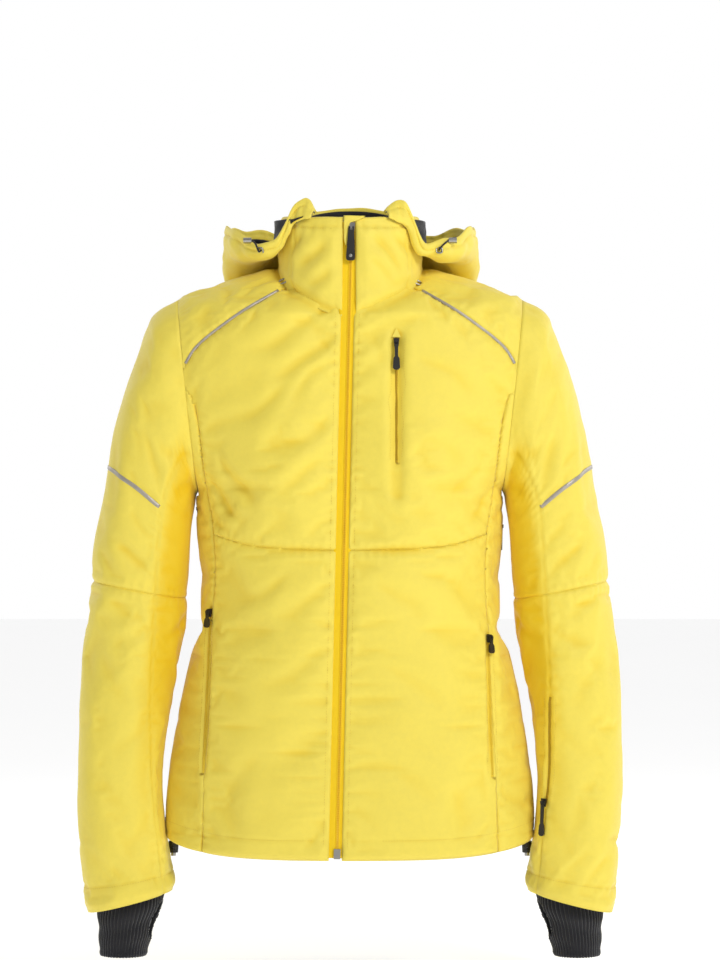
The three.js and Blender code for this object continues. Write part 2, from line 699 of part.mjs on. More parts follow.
// A cord lock hanging under the hem at a side seam: a sleeve with a sprung plunger that is pressed upwards.
function buildHemLock(side, label) {
  const at = new THREE.Group();
  at.position.set(side * 199, bodyCentreY - 4, hemHeight.side - 5);
  jacket.add(at);
  const cup = [[3.2, -13], [5.4, -13], [5.8, -6], [5.4, 0], [0, 0], [0, -4], [3.2, -4], [3.2, -13]];
  const profile = cup.map(([r, z]) => new THREE.Vector2(r, z)).reverse();
  const body = solid(new THREE.LatheGeometry(profile, 16).rotateX(Math.PI / 2));
  const cordHole = solid(new THREE.CylinderGeometry(1.2, 1.2, 20, 8).translate(0, 0, -8));
  addPart(`hem_lock_${label}`, geometryOf(body.subtract(cordHole)), materials.moulded, at);
  const plunger = new THREE.CylinderGeometry(2.9, 2.9, 9, 14).rotateX(Math.PI / 2).translate(0, 0, -12.2);
  addPart(`hem_lock_button_${label}`, plunger, materials.metal, at);
}

// ---------------------------------------------------------------- assembly

const sides = [[1, "left"], [-1, "right"]];
const panels = buildPanels();

function surfacePoint(x, z, outward = 0) {
  return new THREE.Vector3(x, frontY(x, z) - outward, z);
}

const chestPull = { cord: 17, tab: 15, width: 8 };
const handPull = { cord: 7, tab: 11, width: 9 };
const ventPull = { cord: 13, tab: 14, width: 6 };
const chestLine = [surfacePoint(51, -74, 0.6), surfacePoint(51, -214, 0.6)];
const handLeftLine = [surfacePoint(153, -402, 1), surfacePoint(157, -560, 1)];
const handRightLine = [surfacePoint(-155, -374, 1), surfacePoint(-162, -556, 1)];
const slots = {
  chest: pocketZip("chest", ...chestLine, new THREE.Vector3(0, -1, 0), 8, chestPull, true),
  hand_left: pocketZip("hand_left", ...handLeftLine, new THREE.Vector3(0.72, -0.7, 0), 7, handPull),
  hand_right: pocketZip("hand_right", ...handRightLine, new THREE.Vector3(-0.72, -0.7, 0), 7, handPull),
};
for (const [side, label] of sides) {
  const at = (z) => bodyPoint(side * radians(93), z, 1.5);
  const top = side > 0 ? -278 : -258;
  const outward = new THREE.Vector3(side, 0, 0);
  slots[`vent_${label}`] = pocketZip(`vent_${label}`, at(top), at(top - 105), outward, 8, ventPull);
}

for (const [name, panel] of Object.entries(panels)) {
  const cut = Object.values(slots).reduce((left, slot) => left.subtract(slot), panel);
  addPart(name, geometryOf(largestBody(cut)), materials.shell);
}

buildCollar();
buildHangerLoop();
buildLining();
buildPowderSkirt();
buildMainZip();
for (const [side, label] of sides) {
  buildPiping(side, label);
  buildHemLock(side, label);
}

const sleevePocket = (() => {
  const at = (station, degrees) => sleevePoint(station, radians(degrees), -0.6);
  const outward = new THREE.Vector3(-0.55, -1, 0);
  return pocketZip("sleeve", at(8.62, 122), at(10.38, 141), outward, 117, { cord: 24, tab: 14, width: 7 });
})();

for (const [side, label] of sides) {
  const push = 1.4;
  const upper = sleeveTube(0, elbowStation - 0.012, 8, side, 0, sleeveShell, push);
  const lower = sleeveTube(elbowStation + 0.012, cuffStation, 6, side, 0, sleeveShell, push);
  addPart(`upper_sleeve_${label}`, geometryOf(upper), materials.shell);
  const pocketed = side === 1 ? lower.subtract(sleevePocket) : lower;
  addPart(`lower_sleeve_${label}`, geometryOf(pocketed), materials.shell);
  addPart(`wrist_gaiter_${label}`, geometryOf(gaiter(side)), materials.gaiter);
  const band = geometryOf(armBand(side)).translate(side * push, 0, 0);
  addPart(`arm_band_${label}`, band, materials.reflective);
  const barrel = new THREE.CylinderGeometry(3.2, 3.2, 9, 12).rotateZ(Math.PI / 2);
  const rim = hoodPoint(side * 112, new THREE.Vector2(42.5, 33));
  barrel.translate(rim.x, rim.y, rim.z);
  addPart(`hood_cord_lock_${label}`, barrel, materials.metal);
}

addPart("hood_shell", geometryOf(hoodLayer(0, 2)), materials.shell);
addPart("hood_lining", geometryOf(hoodLayer(2.6, 4)), materials.lining);

export default jacket;
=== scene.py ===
"""A women's insulated ski jacket, zipped up, in the shape it has when worn.

Lengths are in millimetres until a mesh is made, then in metres. +X is the wearer's left, -Y the
front, +Z up, and the origin is under the hanger loop at the back of the neck, as in the CAD frame.
"""
import json
import math

import bmesh
import bpy
import numpy as np
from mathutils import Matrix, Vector
from mathutils.bvhtree import BVHTree


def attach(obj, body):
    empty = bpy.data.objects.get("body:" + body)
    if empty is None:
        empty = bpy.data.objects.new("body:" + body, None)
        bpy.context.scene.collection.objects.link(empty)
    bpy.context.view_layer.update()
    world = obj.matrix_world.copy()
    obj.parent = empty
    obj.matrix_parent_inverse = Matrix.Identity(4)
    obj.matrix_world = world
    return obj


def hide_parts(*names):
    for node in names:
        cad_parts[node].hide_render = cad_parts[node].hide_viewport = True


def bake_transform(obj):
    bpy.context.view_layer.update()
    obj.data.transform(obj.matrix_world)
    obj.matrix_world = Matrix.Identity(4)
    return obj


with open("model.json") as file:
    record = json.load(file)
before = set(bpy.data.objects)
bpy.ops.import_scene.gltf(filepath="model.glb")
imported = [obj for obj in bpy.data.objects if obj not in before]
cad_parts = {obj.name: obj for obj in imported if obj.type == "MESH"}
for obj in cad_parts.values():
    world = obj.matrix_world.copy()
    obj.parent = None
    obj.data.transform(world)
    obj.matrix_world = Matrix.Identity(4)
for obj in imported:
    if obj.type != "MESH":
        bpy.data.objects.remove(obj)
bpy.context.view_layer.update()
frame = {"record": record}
MM = 0.001
SIDES = ((1, "left"), (-1, "right"))

# ---------------------------------------------------------------- driving dimensions, as in the CAD

CENTRE_Y = -68.5
POWER = 2.3
ZIP_TOP = (1.5, 52.0)
ZIP_BOTTOM = (-14.0, -646.0)
ZIP_LEFT = 5.2
ZIP_RIGHT = 9.0
HEM_ROW = -560.0
ARMHOLE = ((193.0, -31.0), (171.0, -241.0))
ELBOW = 6.75
CUFF = 12.0
COLLAR_TOP = (57.0, 62.0, 80.0)  # front, side, back

PIPING = [(70, -17), (80, -23), (100, -35), (121, -48), (143, -63.5), (162.5, -78.5), (174, -90), (182, -104),
          (190, -122)]
SIDE_SEAM = [(190, -128), (176, -140), (168, -175), (162, -235), (153, -290), (151, -335), (153, -380),
             (157, -440), (160, -520), (166, -700)]
CHEST_SEAM = [(-14, -310), (60, -309), (110, -305), (153, -293)]
BACK_SEAM = [(190, -160), (150, -175), (128, -260), (120, -340), (126, -450), (136, -700)]
YOKE_Z = -112.0

# ---------------------------------------------------------------- small helpers

RIPPLE_WAVES = 9


def curve(stations):
    """A smooth function through (position, value) pairs that never overshoots them."""
    at = np.array([s[0] for s in stations], float)
    value = np.array([s[1] for s in stations], float)
    width = np.diff(at)
    step = np.diff(value) / width
    slope = np.concatenate([step[:1], np.zeros(len(at) - 2), step[-1:]])
    both = step[:-1] * step[1:]
    rising = both > 0
    slope[1:-1][rising] = 2 * both[rising] / (step[:-1] + step[1:])[rising]

    def value_at(x):
        x = np.clip(x, at[0], at[-1])
        i = np.clip(np.searchsorted(at, x, side="right") - 1, 0, len(at) - 2)
        t = (x - at[i]) / width[i]
        rise = t * t * (3 - 2 * t)
        bend = width[i] * (slope[i] * t * (1 - t) ** 2 - slope[i + 1] * t * t * (1 - t))
        return value[i] * (1 - rise) + value[i + 1] * rise + bend

    return value_at


def spow(v, p):
    return np.sign(v) * np.abs(v) ** p


def lerp(a, b, t):
    return a + (b - a) * t


def smooth(t):
    t = np.clip(t, 0, 1)
    return t * t * (3 - 2 * t)


def bell(d, width):
    return np.exp(-((d / width) ** 2))


def unit(v):
    return v / np.maximum(np.linalg.norm(v, axis=-1, keepdims=True), 1e-9)


def ripple(points, size, seed):
    """A smooth uneven field of about +-1 with bumps of about the given size."""
    draw = np.random.default_rng(seed)
    total = 0
    for _ in range(RIPPLE_WAVES):
        direction = unit(draw.normal(size=3))
        wave = 2 * math.pi / (size * draw.uniform(0.7, 1.5))
        total = total + np.sin(points @ direction * wave + draw.uniform(0, 2 * math.pi))
    return total / math.sqrt(RIPPLE_WAVES) * 0.9


def bumps(grid, size, seed):
    """The same field over a grid of points."""
    return ripple(grid.reshape(-1, 3), size, seed).reshape(grid.shape[:2])


def grid_faces(rows, cols, wrap=False):
    r, c = np.meshgrid(np.arange(rows - 1), np.arange(cols if wrap else cols - 1), indexing="ij")
    n = (c + 1) % cols
    return np.stack([r * cols + c, r * cols + n, (r + 1) * cols + n, (r + 1) * cols + c], -1).reshape(-1, 4)


def grid_normals(grid, wrap=False):
    if wrap:
        du = np.roll(grid, -1, 1) - np.roll(grid, 1, 1)
    else:
        du = np.gradient(grid, axis=1)
    dv = np.gradient(grid, axis=0)
    return unit(np.cross(du, dv))


def distance_along(line):
    """How far along a polyline each of its points is."""
    return np.concatenate([[0], np.cumsum(np.linalg.norm(np.diff(line, axis=0), axis=1))])


def resample(line, count):
    """The same polyline with that many points, evenly spaced."""
    line = np.asarray(line, float)
    run = distance_along(line)
    even = np.linspace(0, run[-1], count)
    return np.stack([np.interp(even, run, line[:, k]) for k in range(line.shape[1])], -1)


def rounded(line, spacing=7.0):
    """A smooth curve through a few points, as a polyline."""
    line = np.asarray(line, float)
    run = distance_along(line)
    even = np.linspace(0, run[-1], max(3, int(run[-1] / spacing)))
    return np.stack([curve(list(zip(run, line[:, k])))(even) for k in range(line.shape[1])], -1)


def along(points, line):
    """How far each point is from a polyline, and how far along the polyline that is."""
    best = np.full(len(points), 1e9)
    place = np.zeros(len(points))
    nearest = np.zeros_like(points)
    run = 0.0
    for a, b in zip(line[:-1], line[1:]):
        leg = b - a
        length = np.linalg.norm(leg)
        t = np.clip((points - a) @ leg / length**2, 0, 1)
        foot = a + t[:, None] * leg
        d = np.linalg.norm(points - foot, axis=1)
        closer = d < best
        best[closer] = d[closer]
        place[closer] = run + t[closer] * length
        nearest[closer] = foot[closer]
        run += length
    return best, place, nearest


def make_mesh(name, verts, faces, material, flat=False):
    """A mesh object from points in millimetres."""
    mesh = bpy.data.meshes.new(name)
    faces = faces.tolist() if isinstance(faces, np.ndarray) else faces
    mesh.from_pydata((np.asarray(verts) * MM).tolist(), [], faces)
    mesh.validate()
    if not flat:
        mesh.shade_smooth()
    mesh.materials.append(material)
    obj = bpy.data.objects.new(name, mesh)
    bpy.context.scene.collection.objects.link(obj)
    return obj


def set_painted_fold_shade(obj, fold):
    """Stores how deep in a fold each point lies, where the fabric's colour is deepened as painted shade."""
    layer = obj.data.attributes.new("fold", "FLOAT", "POINT")
    layer.data.foreach_set("value", fold.astype(np.float32))


def compact(verts, faces):
    used, packed = np.unique(faces, return_inverse=True)
    return verts[used], packed.reshape(faces.shape), used


def shell(verts, faces, inward, thickness):
    """A closed wall from a sheet of quads, with its back at that depth along each inward direction."""
    count = len(verts)
    edges = np.concatenate([faces[:, [k, (k + 1) % 4]] for k in range(4)])
    key = np.sort(edges, axis=1) @ np.array([count, 1])
    _, first, uses = np.unique(key, return_index=True, return_counts=True)
    rim = edges[first[uses == 1]]
    back = verts + inward * thickness
    walls = np.stack([rim[:, 1], rim[:, 0], rim[:, 0] + count, rim[:, 1] + count], -1)
    return np.concatenate([verts, back]), np.concatenate([faces, faces[:, ::-1] + count, walls])


def wall_of(grid, out, thickness, wrap=False, turned=False):
    """A closed wall behind a grid of points, given the outward direction at each."""
    faces = grid_faces(*grid.shape[:2], wrap=wrap)
    faces = faces[:, ::-1] if turned else faces
    return shell(grid.reshape(-1, 3), faces, -out.reshape(-1, 3), thickness)


def end_caps(rows, cols):
    """The two end faces of a tube whose points run ring by ring."""
    return [list(range(cols)), [(rows - 1) * cols + k for k in reversed(range(cols))]]


def join(parts):
    """Several (verts, faces) as one."""
    verts, faces, start = [], [], 0
    for v, f in parts:
        verts.append(np.asarray(v, float))
        faces.extend([k + start for k in face] for face in f)
        start += len(v)
    return np.concatenate(verts), faces


def tube(path, radius, sides=8, closed=False, up=(0, 0, 1)):
    """A round tube along a polyline, with its ends closed."""
    path = np.asarray(path, float)
    count = len(path)
    heading = unit(np.roll(path, -1, 0) - np.roll(path, 1, 0)) if closed else unit(np.gradient(path, axis=0))
    side = unit(np.cross(heading, np.asarray(up, float)))
    top = np.cross(side, heading)
    angle = np.arange(sides) * 2 * math.pi / sides
    radius = np.broadcast_to(radius, (count,))[:, None, None]
    ring = np.cos(angle)[None, :, None] * side[:, None] + np.sin(angle)[None, :, None] * top[:, None]
    verts = (path[:, None] + radius * ring).reshape(-1, 3)
    rows = np.arange(count if closed else count - 1)
    faces = []
    for r in rows:
        n = (r + 1) % count
        for c in range(sides):
            k = (c + 1) % sides
            faces.append([r * sides + c, n * sides + c, n * sides + k, r * sides + k])
    if not closed:
        faces += end_caps(count, sides)
    return verts, faces


# ---------------------------------------------------------------- materials


class Nodes:
    """A material's node tree, built by short calls."""

    def __init__(self, name, **shader):
        self.material = bpy.data.materials.new(name)
        self.material.use_nodes = True
        self.tree = self.material.node_tree
        self.shader = self.tree.nodes["Principled BSDF"]
        for key, value in shader.items():
            self.shader.inputs[key.replace("_", " ")].default_value = value
        self.place = self.add("ShaderNodeTexCoord").outputs["Object"]

    def add(self, kind, links=(), **values):
        node = self.tree.nodes.new(kind)
        for key, value in values.items():
            if key in node.bl_rna.properties:
                setattr(node, key, value)
            else:
                node.inputs[key.replace("_", " ")].default_value = value
        for key, source in dict(links).items():
            self.tree.links.new(source, node.inputs[key])
        return node

    def link(self, source, key):
        self.tree.links.new(source, self.shader.inputs[key])

    def noise(self, scale, detail=2.0, roughness=0.5):
        shape = {"Scale": scale, "Detail": detail, "Roughness": roughness}
        return self.add("ShaderNodeTexNoise", {"Vector": self.place}, **shape).outputs["Fac"]

    def wave(self, scale, direction, distortion=0.0):
        node = self.add("ShaderNodeTexWave", {"Vector": self.place}, Scale=scale, Distortion=distortion)
        node.bands_direction = direction
        return node.outputs["Fac"]

    def math(self, operation, a, b):
        node = self.add("ShaderNodeMath", operation=operation)
        for slot, value in enumerate((a, b)):
            if isinstance(value, (int, float)):
                node.inputs[slot].default_value = value
            else:
                self.tree.links.new(value, node.inputs[slot])
        return node.outputs[0]

    def ramp(self, source, low, high, start=0.0, end=1.0):
        node = self.add("ShaderNodeValToRGB", {"Fac": source})
        node.color_ramp.elements[0].color = low
        node.color_ramp.elements[1].color = high
        node.color_ramp.elements[0].position = start
        node.color_ramp.elements[1].position = end
        return node.outputs["Color"]

    def spread(self, source, low, high):
        """A 0 to 1 value spread over another range."""
        node = self.add("ShaderNodeMapRange", {"Value": source})
        node.inputs["To Min"].default_value = low
        node.inputs["To Max"].default_value = high
        return node.outputs["Result"]

    def mix(self, factor, a, b):
        node = self.add("ShaderNodeMix", data_type="RGBA")
        for key, value in ((0, factor), (6, a), (7, b)):
            if isinstance(value, (int, float, tuple)):
                node.inputs[key].default_value = value
            else:
                self.tree.links.new(value, node.inputs[key])
        return node.outputs[2]

    def bump(self, height, strength, distance, under=None):
        node = self.add("ShaderNodeBump", {"Height": height}, Strength=strength, Distance=distance)
        if under is not None:
            self.tree.links.new(under, node.inputs["Normal"])
        self.link(node.outputs[0], "Normal")
        return node.outputs[0]


def colour(r, g, b):
    """A display colour, 0 to 255, as the linear values the shader takes."""
    return tuple((v / 255) ** 2.2 for v in (r, g, b)) + (1.0,)


def shade(base, share):
    """A paler or darker tone of a colour."""
    return tuple(min(1, c * share) for c in base[:3]) + (1,)


def woven(name, base, fold, rough=0.55, sheen=0.15, thread=1400.0, strength=0.25):
    """A tightly woven fabric: crossed threads, mottled dye, painted shade that deepens its colour in its
    folds, crumpled sheen.
    """
    n = Nodes(name, Sheen_Weight=sheen, Sheen_Roughness=0.4, Specular_IOR_Level=0.35)
    # painted shade: the fold attribute says how far a point lies in a crease, and the base colour turns
    # towards the fold colour by it
    depth = n.add("ShaderNodeAttribute", attribute_name="fold").outputs["Fac"]
    mottled = n.noise(14, 4, 0.6)
    fine = n.noise(160, 3, 0.6)
    cloth = n.mix(fine, n.ramp(mottled, shade(base, 0.94), base, 0.3, 0.7), shade(base, 1.06))
    n.link(n.mix(depth, cloth, fold), "Base Color")
    n.link(n.spread(n.noise(45, 4, 0.6), rough - 0.08, rough + 0.1), "Roughness")
    warp = n.wave(thread, "DIAGONAL")
    weft = n.wave(thread, "Z")
    weave = n.bump(n.math("MULTIPLY", warp, weft), strength, 0.0002)
    n.bump(n.noise(38, 4, 0.5), 0.06, 0.0015, weave)
    return n.material


YELLOW = colour(246, 224, 92)
# painted shade: the deeper amber that the shell fabric takes in its creases, seam grooves and on the inner
# sleeves
FOLD_SHADE_AMBER = colour(240, 200, 30)
SHELL = woven("shell_fabric", YELLOW, FOLD_SHADE_AMBER)
# The colour after the base in each of these fabrics is painted shade for its folds.
LINING = woven("lining_fabric", colour(36, 36, 39), colour(20, 20, 23), rough=0.6, sheen=0.25)
TAPE_WEAVE = {"rough": 0.65, "thread": 900, "strength": 0.5}
TAPE = woven("zip_tape_fabric", colour(253, 208, 22), colour(214, 150, 0), **TAPE_WEAVE)
POCKET_TAPE = woven("pocket_zip_fabric", colour(236, 204, 60), colour(206, 160, 10), **TAPE_WEAVE)
CHEST_TAPE = woven("chest_zip_fabric", colour(188, 152, 28), colour(150, 110, 0), **TAPE_WEAVE)


def ribbed_knit():
    n = Nodes("gaiter_knit", Sheen_Weight=0.35, Sheen_Roughness=0.5, Specular_IOR_Level=0.2)
    loops = n.math("MULTIPLY", n.wave(260, "Z", 1.5), n.noise(420, 2, 0.6))
    n.link(n.ramp(n.noise(30, 4), colour(24, 24, 27), colour(44, 44, 48)), "Base Color")
    n.link(n.spread(n.noise(80, 3), 0.75, 0.95), "Roughness")
    n.bump(loops, 0.5, 0.0005)
    return n.material


def glass_bead_tape():
    n = Nodes("reflective_tape", Metallic=0.35, Specular_IOR_Level=0.6)
    cells = n.add("ShaderNodeTexVoronoi", {"Vector": n.place}, Scale=900).outputs["Distance"]
    n.link(n.ramp(n.noise(60, 4), colour(150, 142, 132), colour(196, 188, 178)), "Base Color")
    n.link(n.spread(n.noise(120, 2), 0.3, 0.5), "Roughness")
    n.bump(cells, 0.4, 0.0003)
    return n.material


def moulded(name, low, high, rough=0.42):
    n = Nodes(name, Specular_IOR_Level=0.5)
    n.link(n.ramp(n.noise(40, 4), low, high), "Base Color")
    n.link(n.spread(n.noise(220, 3), rough - 0.1, rough + 0.15), "Roughness")
    n.bump(n.noise(900, 2), 0.25, 0.0002)
    return n.material


def cast_metal(name, low, high):
    n = Nodes(name, Metallic=1.0)
    n.link(n.ramp(n.noise(50, 4), low, high), "Base Color")
    n.link(n.spread(n.noise(300, 4, 0.7), 0.22, 0.42), "Roughness")
    n.bump(n.noise(700, 3), 0.2, 0.0002)
    return n.material


def thread_material(name, base):
    n = Nodes(name, Sheen_Weight=0.2, Specular_IOR_Level=0.4)
    n.link(n.mix(n.noise(200, 2), base, shade(base, 0.8)), "Base Color")
    n.link(n.spread(n.noise(400, 2), 0.45, 0.65), "Roughness")
    n.bump(n.wave(1800, "DIAGONAL"), 0.5, 0.0002)
    return n.material


KNIT = ribbed_knit()
# its second colour is painted shade for its folds
WEBBING = woven("webbing_black", colour(30, 30, 33), colour(18, 18, 20), rough=0.7, thread=500, strength=0.7)
REFLECTIVE = glass_bead_tape()
PLASTIC = moulded("moulded_black", colour(24, 23, 22), colour(46, 43, 40))
METAL = cast_metal("zinc_metal", colour(140, 138, 134), colour(190, 187, 182))
THREAD = thread_material("yellow_thread", colour(240, 206, 60))
DARK_CORD = thread_material("dark_cord", colour(44, 40, 34))
GOLD_COIL = moulded("coil_nylon", colour(232, 176, 10), colour(250, 200, 40), 0.38)

# ---------------------------------------------------------------- the body's surface

half_width = curve([
    (-670, 206), (-600, 201), (-560, 197), (-500, 189), (-460, 182), (-425, 174), (-394, 166.5), (-345, 164),
    (-290, 168), (-262, 169.5), (-245, 171), (-225, 187), (-205, 202), (-180, 216), (-150, 228), (-110, 234),
    (-75, 228), (-55, 216), (-42, 203), (-31, 193), (-24, 180), (-17, 164), (-11, 150), (-4, 130),
    (2, 108), (7, 84), (10, 60)])
neck_depth = curve([
    (-50, 85.65), (-44, 82.5), (-38, 78), (-30, 68), (-20, 57), (-10, 46), (0, 34), (7, 22), (10, 14)])
back_depth = curve([
    (-670, 123), (-560, 118), (-480, 108), (-400, 98), (-345, 94), (-290, 98), (-220, 108), (-150, 112),
    (-100, 109), (-60, 102), (-30, 94), (-10, 87), (0, 82), (7, 76), (10, 60)])


def front_line(z):
    return -146.5 - 0.0708 * (58 - z)


def front_depth(z):
    return np.where(z <= -50, CENTRE_Y - front_line(z), neck_depth(z))


def zip_x(z):
    return lerp(ZIP_BOTTOM[0], ZIP_TOP[0], (z - ZIP_BOTTOM[1]) / (ZIP_TOP[1] - ZIP_BOTTOM[1]))


def bust(x, z):
    return 13 * bell(np.abs(x) - 78, 42) * bell(z + 215, 75)


def body_point(angle, z, inset=0.0):
    s, c = np.sin(angle), np.cos(angle)
    x = (half_width(z) - inset) * spow(s, 2 / POWER)
    depth = np.where(c > 0, front_depth(z), back_depth(z)) - inset
    swell = np.where(c > 0, bust(x, z) * np.sqrt(np.maximum(c, 0)), 0)
    y = CENTRE_Y - depth * spow(c, 2 / POWER) - swell
    return np.stack([x, y, z + 0 * x], -1)


def depth_share(x, z):
    """How much of the body's depth is left that far from its middle."""
    return np.maximum(0, 1 - (np.abs(x) / half_width(z)) ** POWER) ** (1 / POWER)


def front_y(x, z):
    share = depth_share(x, z)
    return CENTRE_Y - front_depth(z) * share - bust(x, z) * np.sqrt(share ** (POWER / 2))


def back_y(x, z):
    return CENTRE_Y + back_depth(z) * depth_share(x, z)


def on_body(line, depth_at, side=1):
    """A line through (x, z) points, laid on the front or the back of the body."""
    flat = rounded(line)
    x, z = side * flat[:, 0], flat[:, 1]
    return np.stack([x, depth_at(x, z), z], -1)


def hem_at(angle):
    s, c = np.sin(angle), np.cos(angle)
    return lerp(np.where(c > 0, -647.0, -664.0), -634.0, s**4)


def armhole_plane(side):
    """A point of the armhole's plane and the direction out of the body, in metres."""
    (tx, tz), (bx, bz) = ARMHOLE
    normal = Vector((side * (tz - bz), 0, -(tx - bx))).normalized()
    return Vector((side * tx * MM, 0, tz * MM)), normal


def armhole_x(z):
    (tx, tz), (bx, bz) = ARMHOLE
    return bx + (tx - bx) / (tz - bz) * (z - bz)


def inside_body(x, y, z):
    depth = np.where(y < CENTRE_Y, front_depth(z), back_depth(z))
    return (np.abs(x) / half_width(z)) ** POWER + (np.abs(y - CENTRE_Y) / depth) ** POWER < 1


def shoulder_height(x, y):
    low, high = np.full(np.shape(x), -300.0), np.full(np.shape(x), 10.0)
    for _ in range(24):
        z = (low + high) / 2
        inside = inside_body(x, y, z)
        low, high = np.where(inside, z, low), np.where(inside, high, z)
    return low


def neck_size(in_front, z, inset):
    """The half width and the depth of the neck's outline at a height."""
    return 82 - 0.07 * z - inset, np.where(in_front, CENTRE_Y - front_line(z), 83 - 0.04 * z) - inset


def neck_share(x, y, z, inset=0.0):
    """Under 1 inside the neck's outline, 1 on it and more outside."""
    width, depth = neck_size(y < CENTRE_Y, z, inset)
    return (np.abs(x) / width) ** POWER + (np.abs(y - CENTRE_Y) / depth) ** POWER


def collar_point(angle, z, inset=0.0):
    s, c = np.sin(angle), np.cos(angle)
    width, depth = neck_size(c > 0, z, inset)
    return np.stack([width * spow(s, 2 / POWER), CENTRE_Y - depth * spow(c, 2 / POWER), z + 0 * s], -1)


def collar_top(angle):
    c = np.cos(angle)
    return lerp(COLLAR_TOP[1], np.where(c > 0, COLLAR_TOP[0], COLLAR_TOP[2]), c * c)


def collar_base(angle, inset=0.0):
    z = np.zeros_like(angle)
    for _ in range(5):
        p = collar_point(angle, z, inset)
        z = shoulder_height(p[..., 0], p[..., 1])
    return z + 1.6


# ---------------------------------------------------------------- creases

# Soft folds of the front, as (x, z) ends with a sideways bow, a half width and a depth.
FRONT_CREASES = [
    (-6, -62, -96, -128, 6, 7, 2.2), (-12, -96, -70, -150, -5, 6, 1.6),
    (-30, -40, -120, -96, 8, 8, 1.8), (-8, -150, -104, -214, 8, 9, 2.0),
    (-16, -205, -90, -262, -6, 8, 1.7), (-60, -120, -140, -176, 6, 8, 1.5),
    (-148, -196, -92, -268, -6, 6, 2.4), (-158, -226, -112, -286, -5, 5, 2.2),
    (-163, -258, -128, -296, -4, 5, 2.0), (-12, -330, -86, -392, 7, 9, 1.9),
    (-16, -402, -112, -470, 9, 11, 1.8), (-60, -332, -132, -372, 6, 8, 1.6),
    (-20, -500, -120, -560, 8, 12, 1.6), (-90, -520, -150, -620, -6, 12, 1.4),
    (20, -70, 42, -130, 5, 7, 1.2), (66, -96, 146, -150, 7, 9, 1.7),
    (60, -180, 140, -228, 7, 10, 1.6), (150, -200, 98, -262, 6, 7, 1.9),
    (160, -236, 118, -290, 5, 6, 1.8), (14, -250, 66, -300, 5, 9, 1.2),
    (14, -340, 92, -400, 8, 11, 1.6), (20, -430, 118, -500, 9, 12, 1.5),
    (60, -330, 142, -368, 6, 8, 1.5), (24, -540, 120, -610, 8, 13, 1.3),
    (-24, -590, -60, -640, 5, 10, 1.2), (100, -560, 140, -634, 4, 11, 1.2),
]
BACK_CREASES = [
    (-150, -190, -40, -260, 10, 10, 2.0), (150, -190, 40, -260, -10, 10, 2.0),
    (-110, -300, 20, -350, 8, 9, 2.2), (115, -330, -10, -385, -8, 9, 2.0),
    (-120, -130, -60, -190, 6, 8, 1.4), (120, -130, 60, -190, -6, 8, 1.4),
    (-60, -400, 70, -440, 9, 12, 1.8), (20, -480, 120, -560, 8, 13, 1.4),
    (-30, -500, -118, -590, -8, 13, 1.4), (-100, -350, -20, -400, 7, 8, 1.5),
    (-20, -250, 60, -300, 7, 11, 1.3),
]


def creases(flat, folds):
    """How far soft folds sink and lift each (x, z) point."""
    total = np.zeros(len(flat))
    for x0, z0, x1, z1, bow, width, depth in folds:
        a, b = np.array([x0, z0], float), np.array([x1, z1], float)
        leg = b - a
        length = np.linalg.norm(leg)
        t = (flat - a) @ leg / length**2
        inner = np.clip(t, 0, 1)
        normal = np.array([-leg[1], leg[0]]) / length
        d = (flat - a) @ normal - bow * np.sin(math.pi * inner) - 1.5 * np.sin(9 * inner + x0)
        fade = smooth(t / 0.35) * smooth((1 - t) / 0.4) * (0 <= t) * (t <= 1)
        spread = width * (0.6 + 0.6 * inner)
        ridge = 0.55 * bell(d - 2.1 * spread, 1.3 * spread) + 0.35 * bell(d + 2.3 * spread, 1.4 * spread)
        total += depth * fade * (ridge - bell(d, spread))
    return total


def fold_relief(place, leg, width, depth, rise, fall, ridges):
    """One soft fold from the origin along leg: a bowed valley between two ridges, fading at its ends."""
    length = np.linalg.norm(leg)
    t = place @ leg / length**2
    normal = np.array([-leg[1], leg[0]]) / length
    d = place @ normal - 3 * np.sin(math.pi * np.clip(t, 0, 1))
    fade = smooth(t / rise) * smooth((1 - t) / fall)
    ridge = ridges[0] * bell(d - 2 * width, 1.3 * width) + ridges[1] * bell(d + 2 * width, 1.3 * width)
    return depth * fade * (ridge - bell(d, width))


def valley(relief, reach, wrap=False):
    """How much each point of a grid lies in a fold, from its depth under its neighbourhood, as the share of
    painted shade in the fabric's colour.
    """
    level = relief.copy()
    for _ in range(reach):
        if wrap:
            level = (np.roll(level, 1, 1) + 2 * level + np.roll(level, -1, 1)) / 4
        else:
            level[:, 1:-1] = (level[:, :-2] + 2 * level[:, 1:-1] + level[:, 2:]) / 4
        level[1:-1] = (level[:-2] + 2 * level[1:-1] + level[2:]) / 4
    return np.clip((level - relief) / 2.8, 0, 1) * 0.6


def seam_relief(d, s, seed, groove=1.7, width=1.5, puff=2.2, reach=16, pucker=0.7, pitch=11.0):
    """The relief beside a seam: a sewn groove, padding that swells away from it and small puckers."""
    shift = ripple(np.stack([s, 0 * s, 0 * s], -1), 60, seed)
    wave = np.sin(2 * math.pi * s / pitch + 2.2 * shift) * (0.6 + 0.5 * np.sin(s / 23.0 + seed))
    gathered = pucker * wave * bell(d - 4, 7) * smooth(d / 2)
    return -groove * bell(d, width) - puff * np.exp(-d / reach) + gathered


# ---------------------------------------------------------------- cloth

CLOTH_STEP = 2  # the simulated cloth has every second point, so a ring needs an even number of them
CLOTH_FRAMES = 20


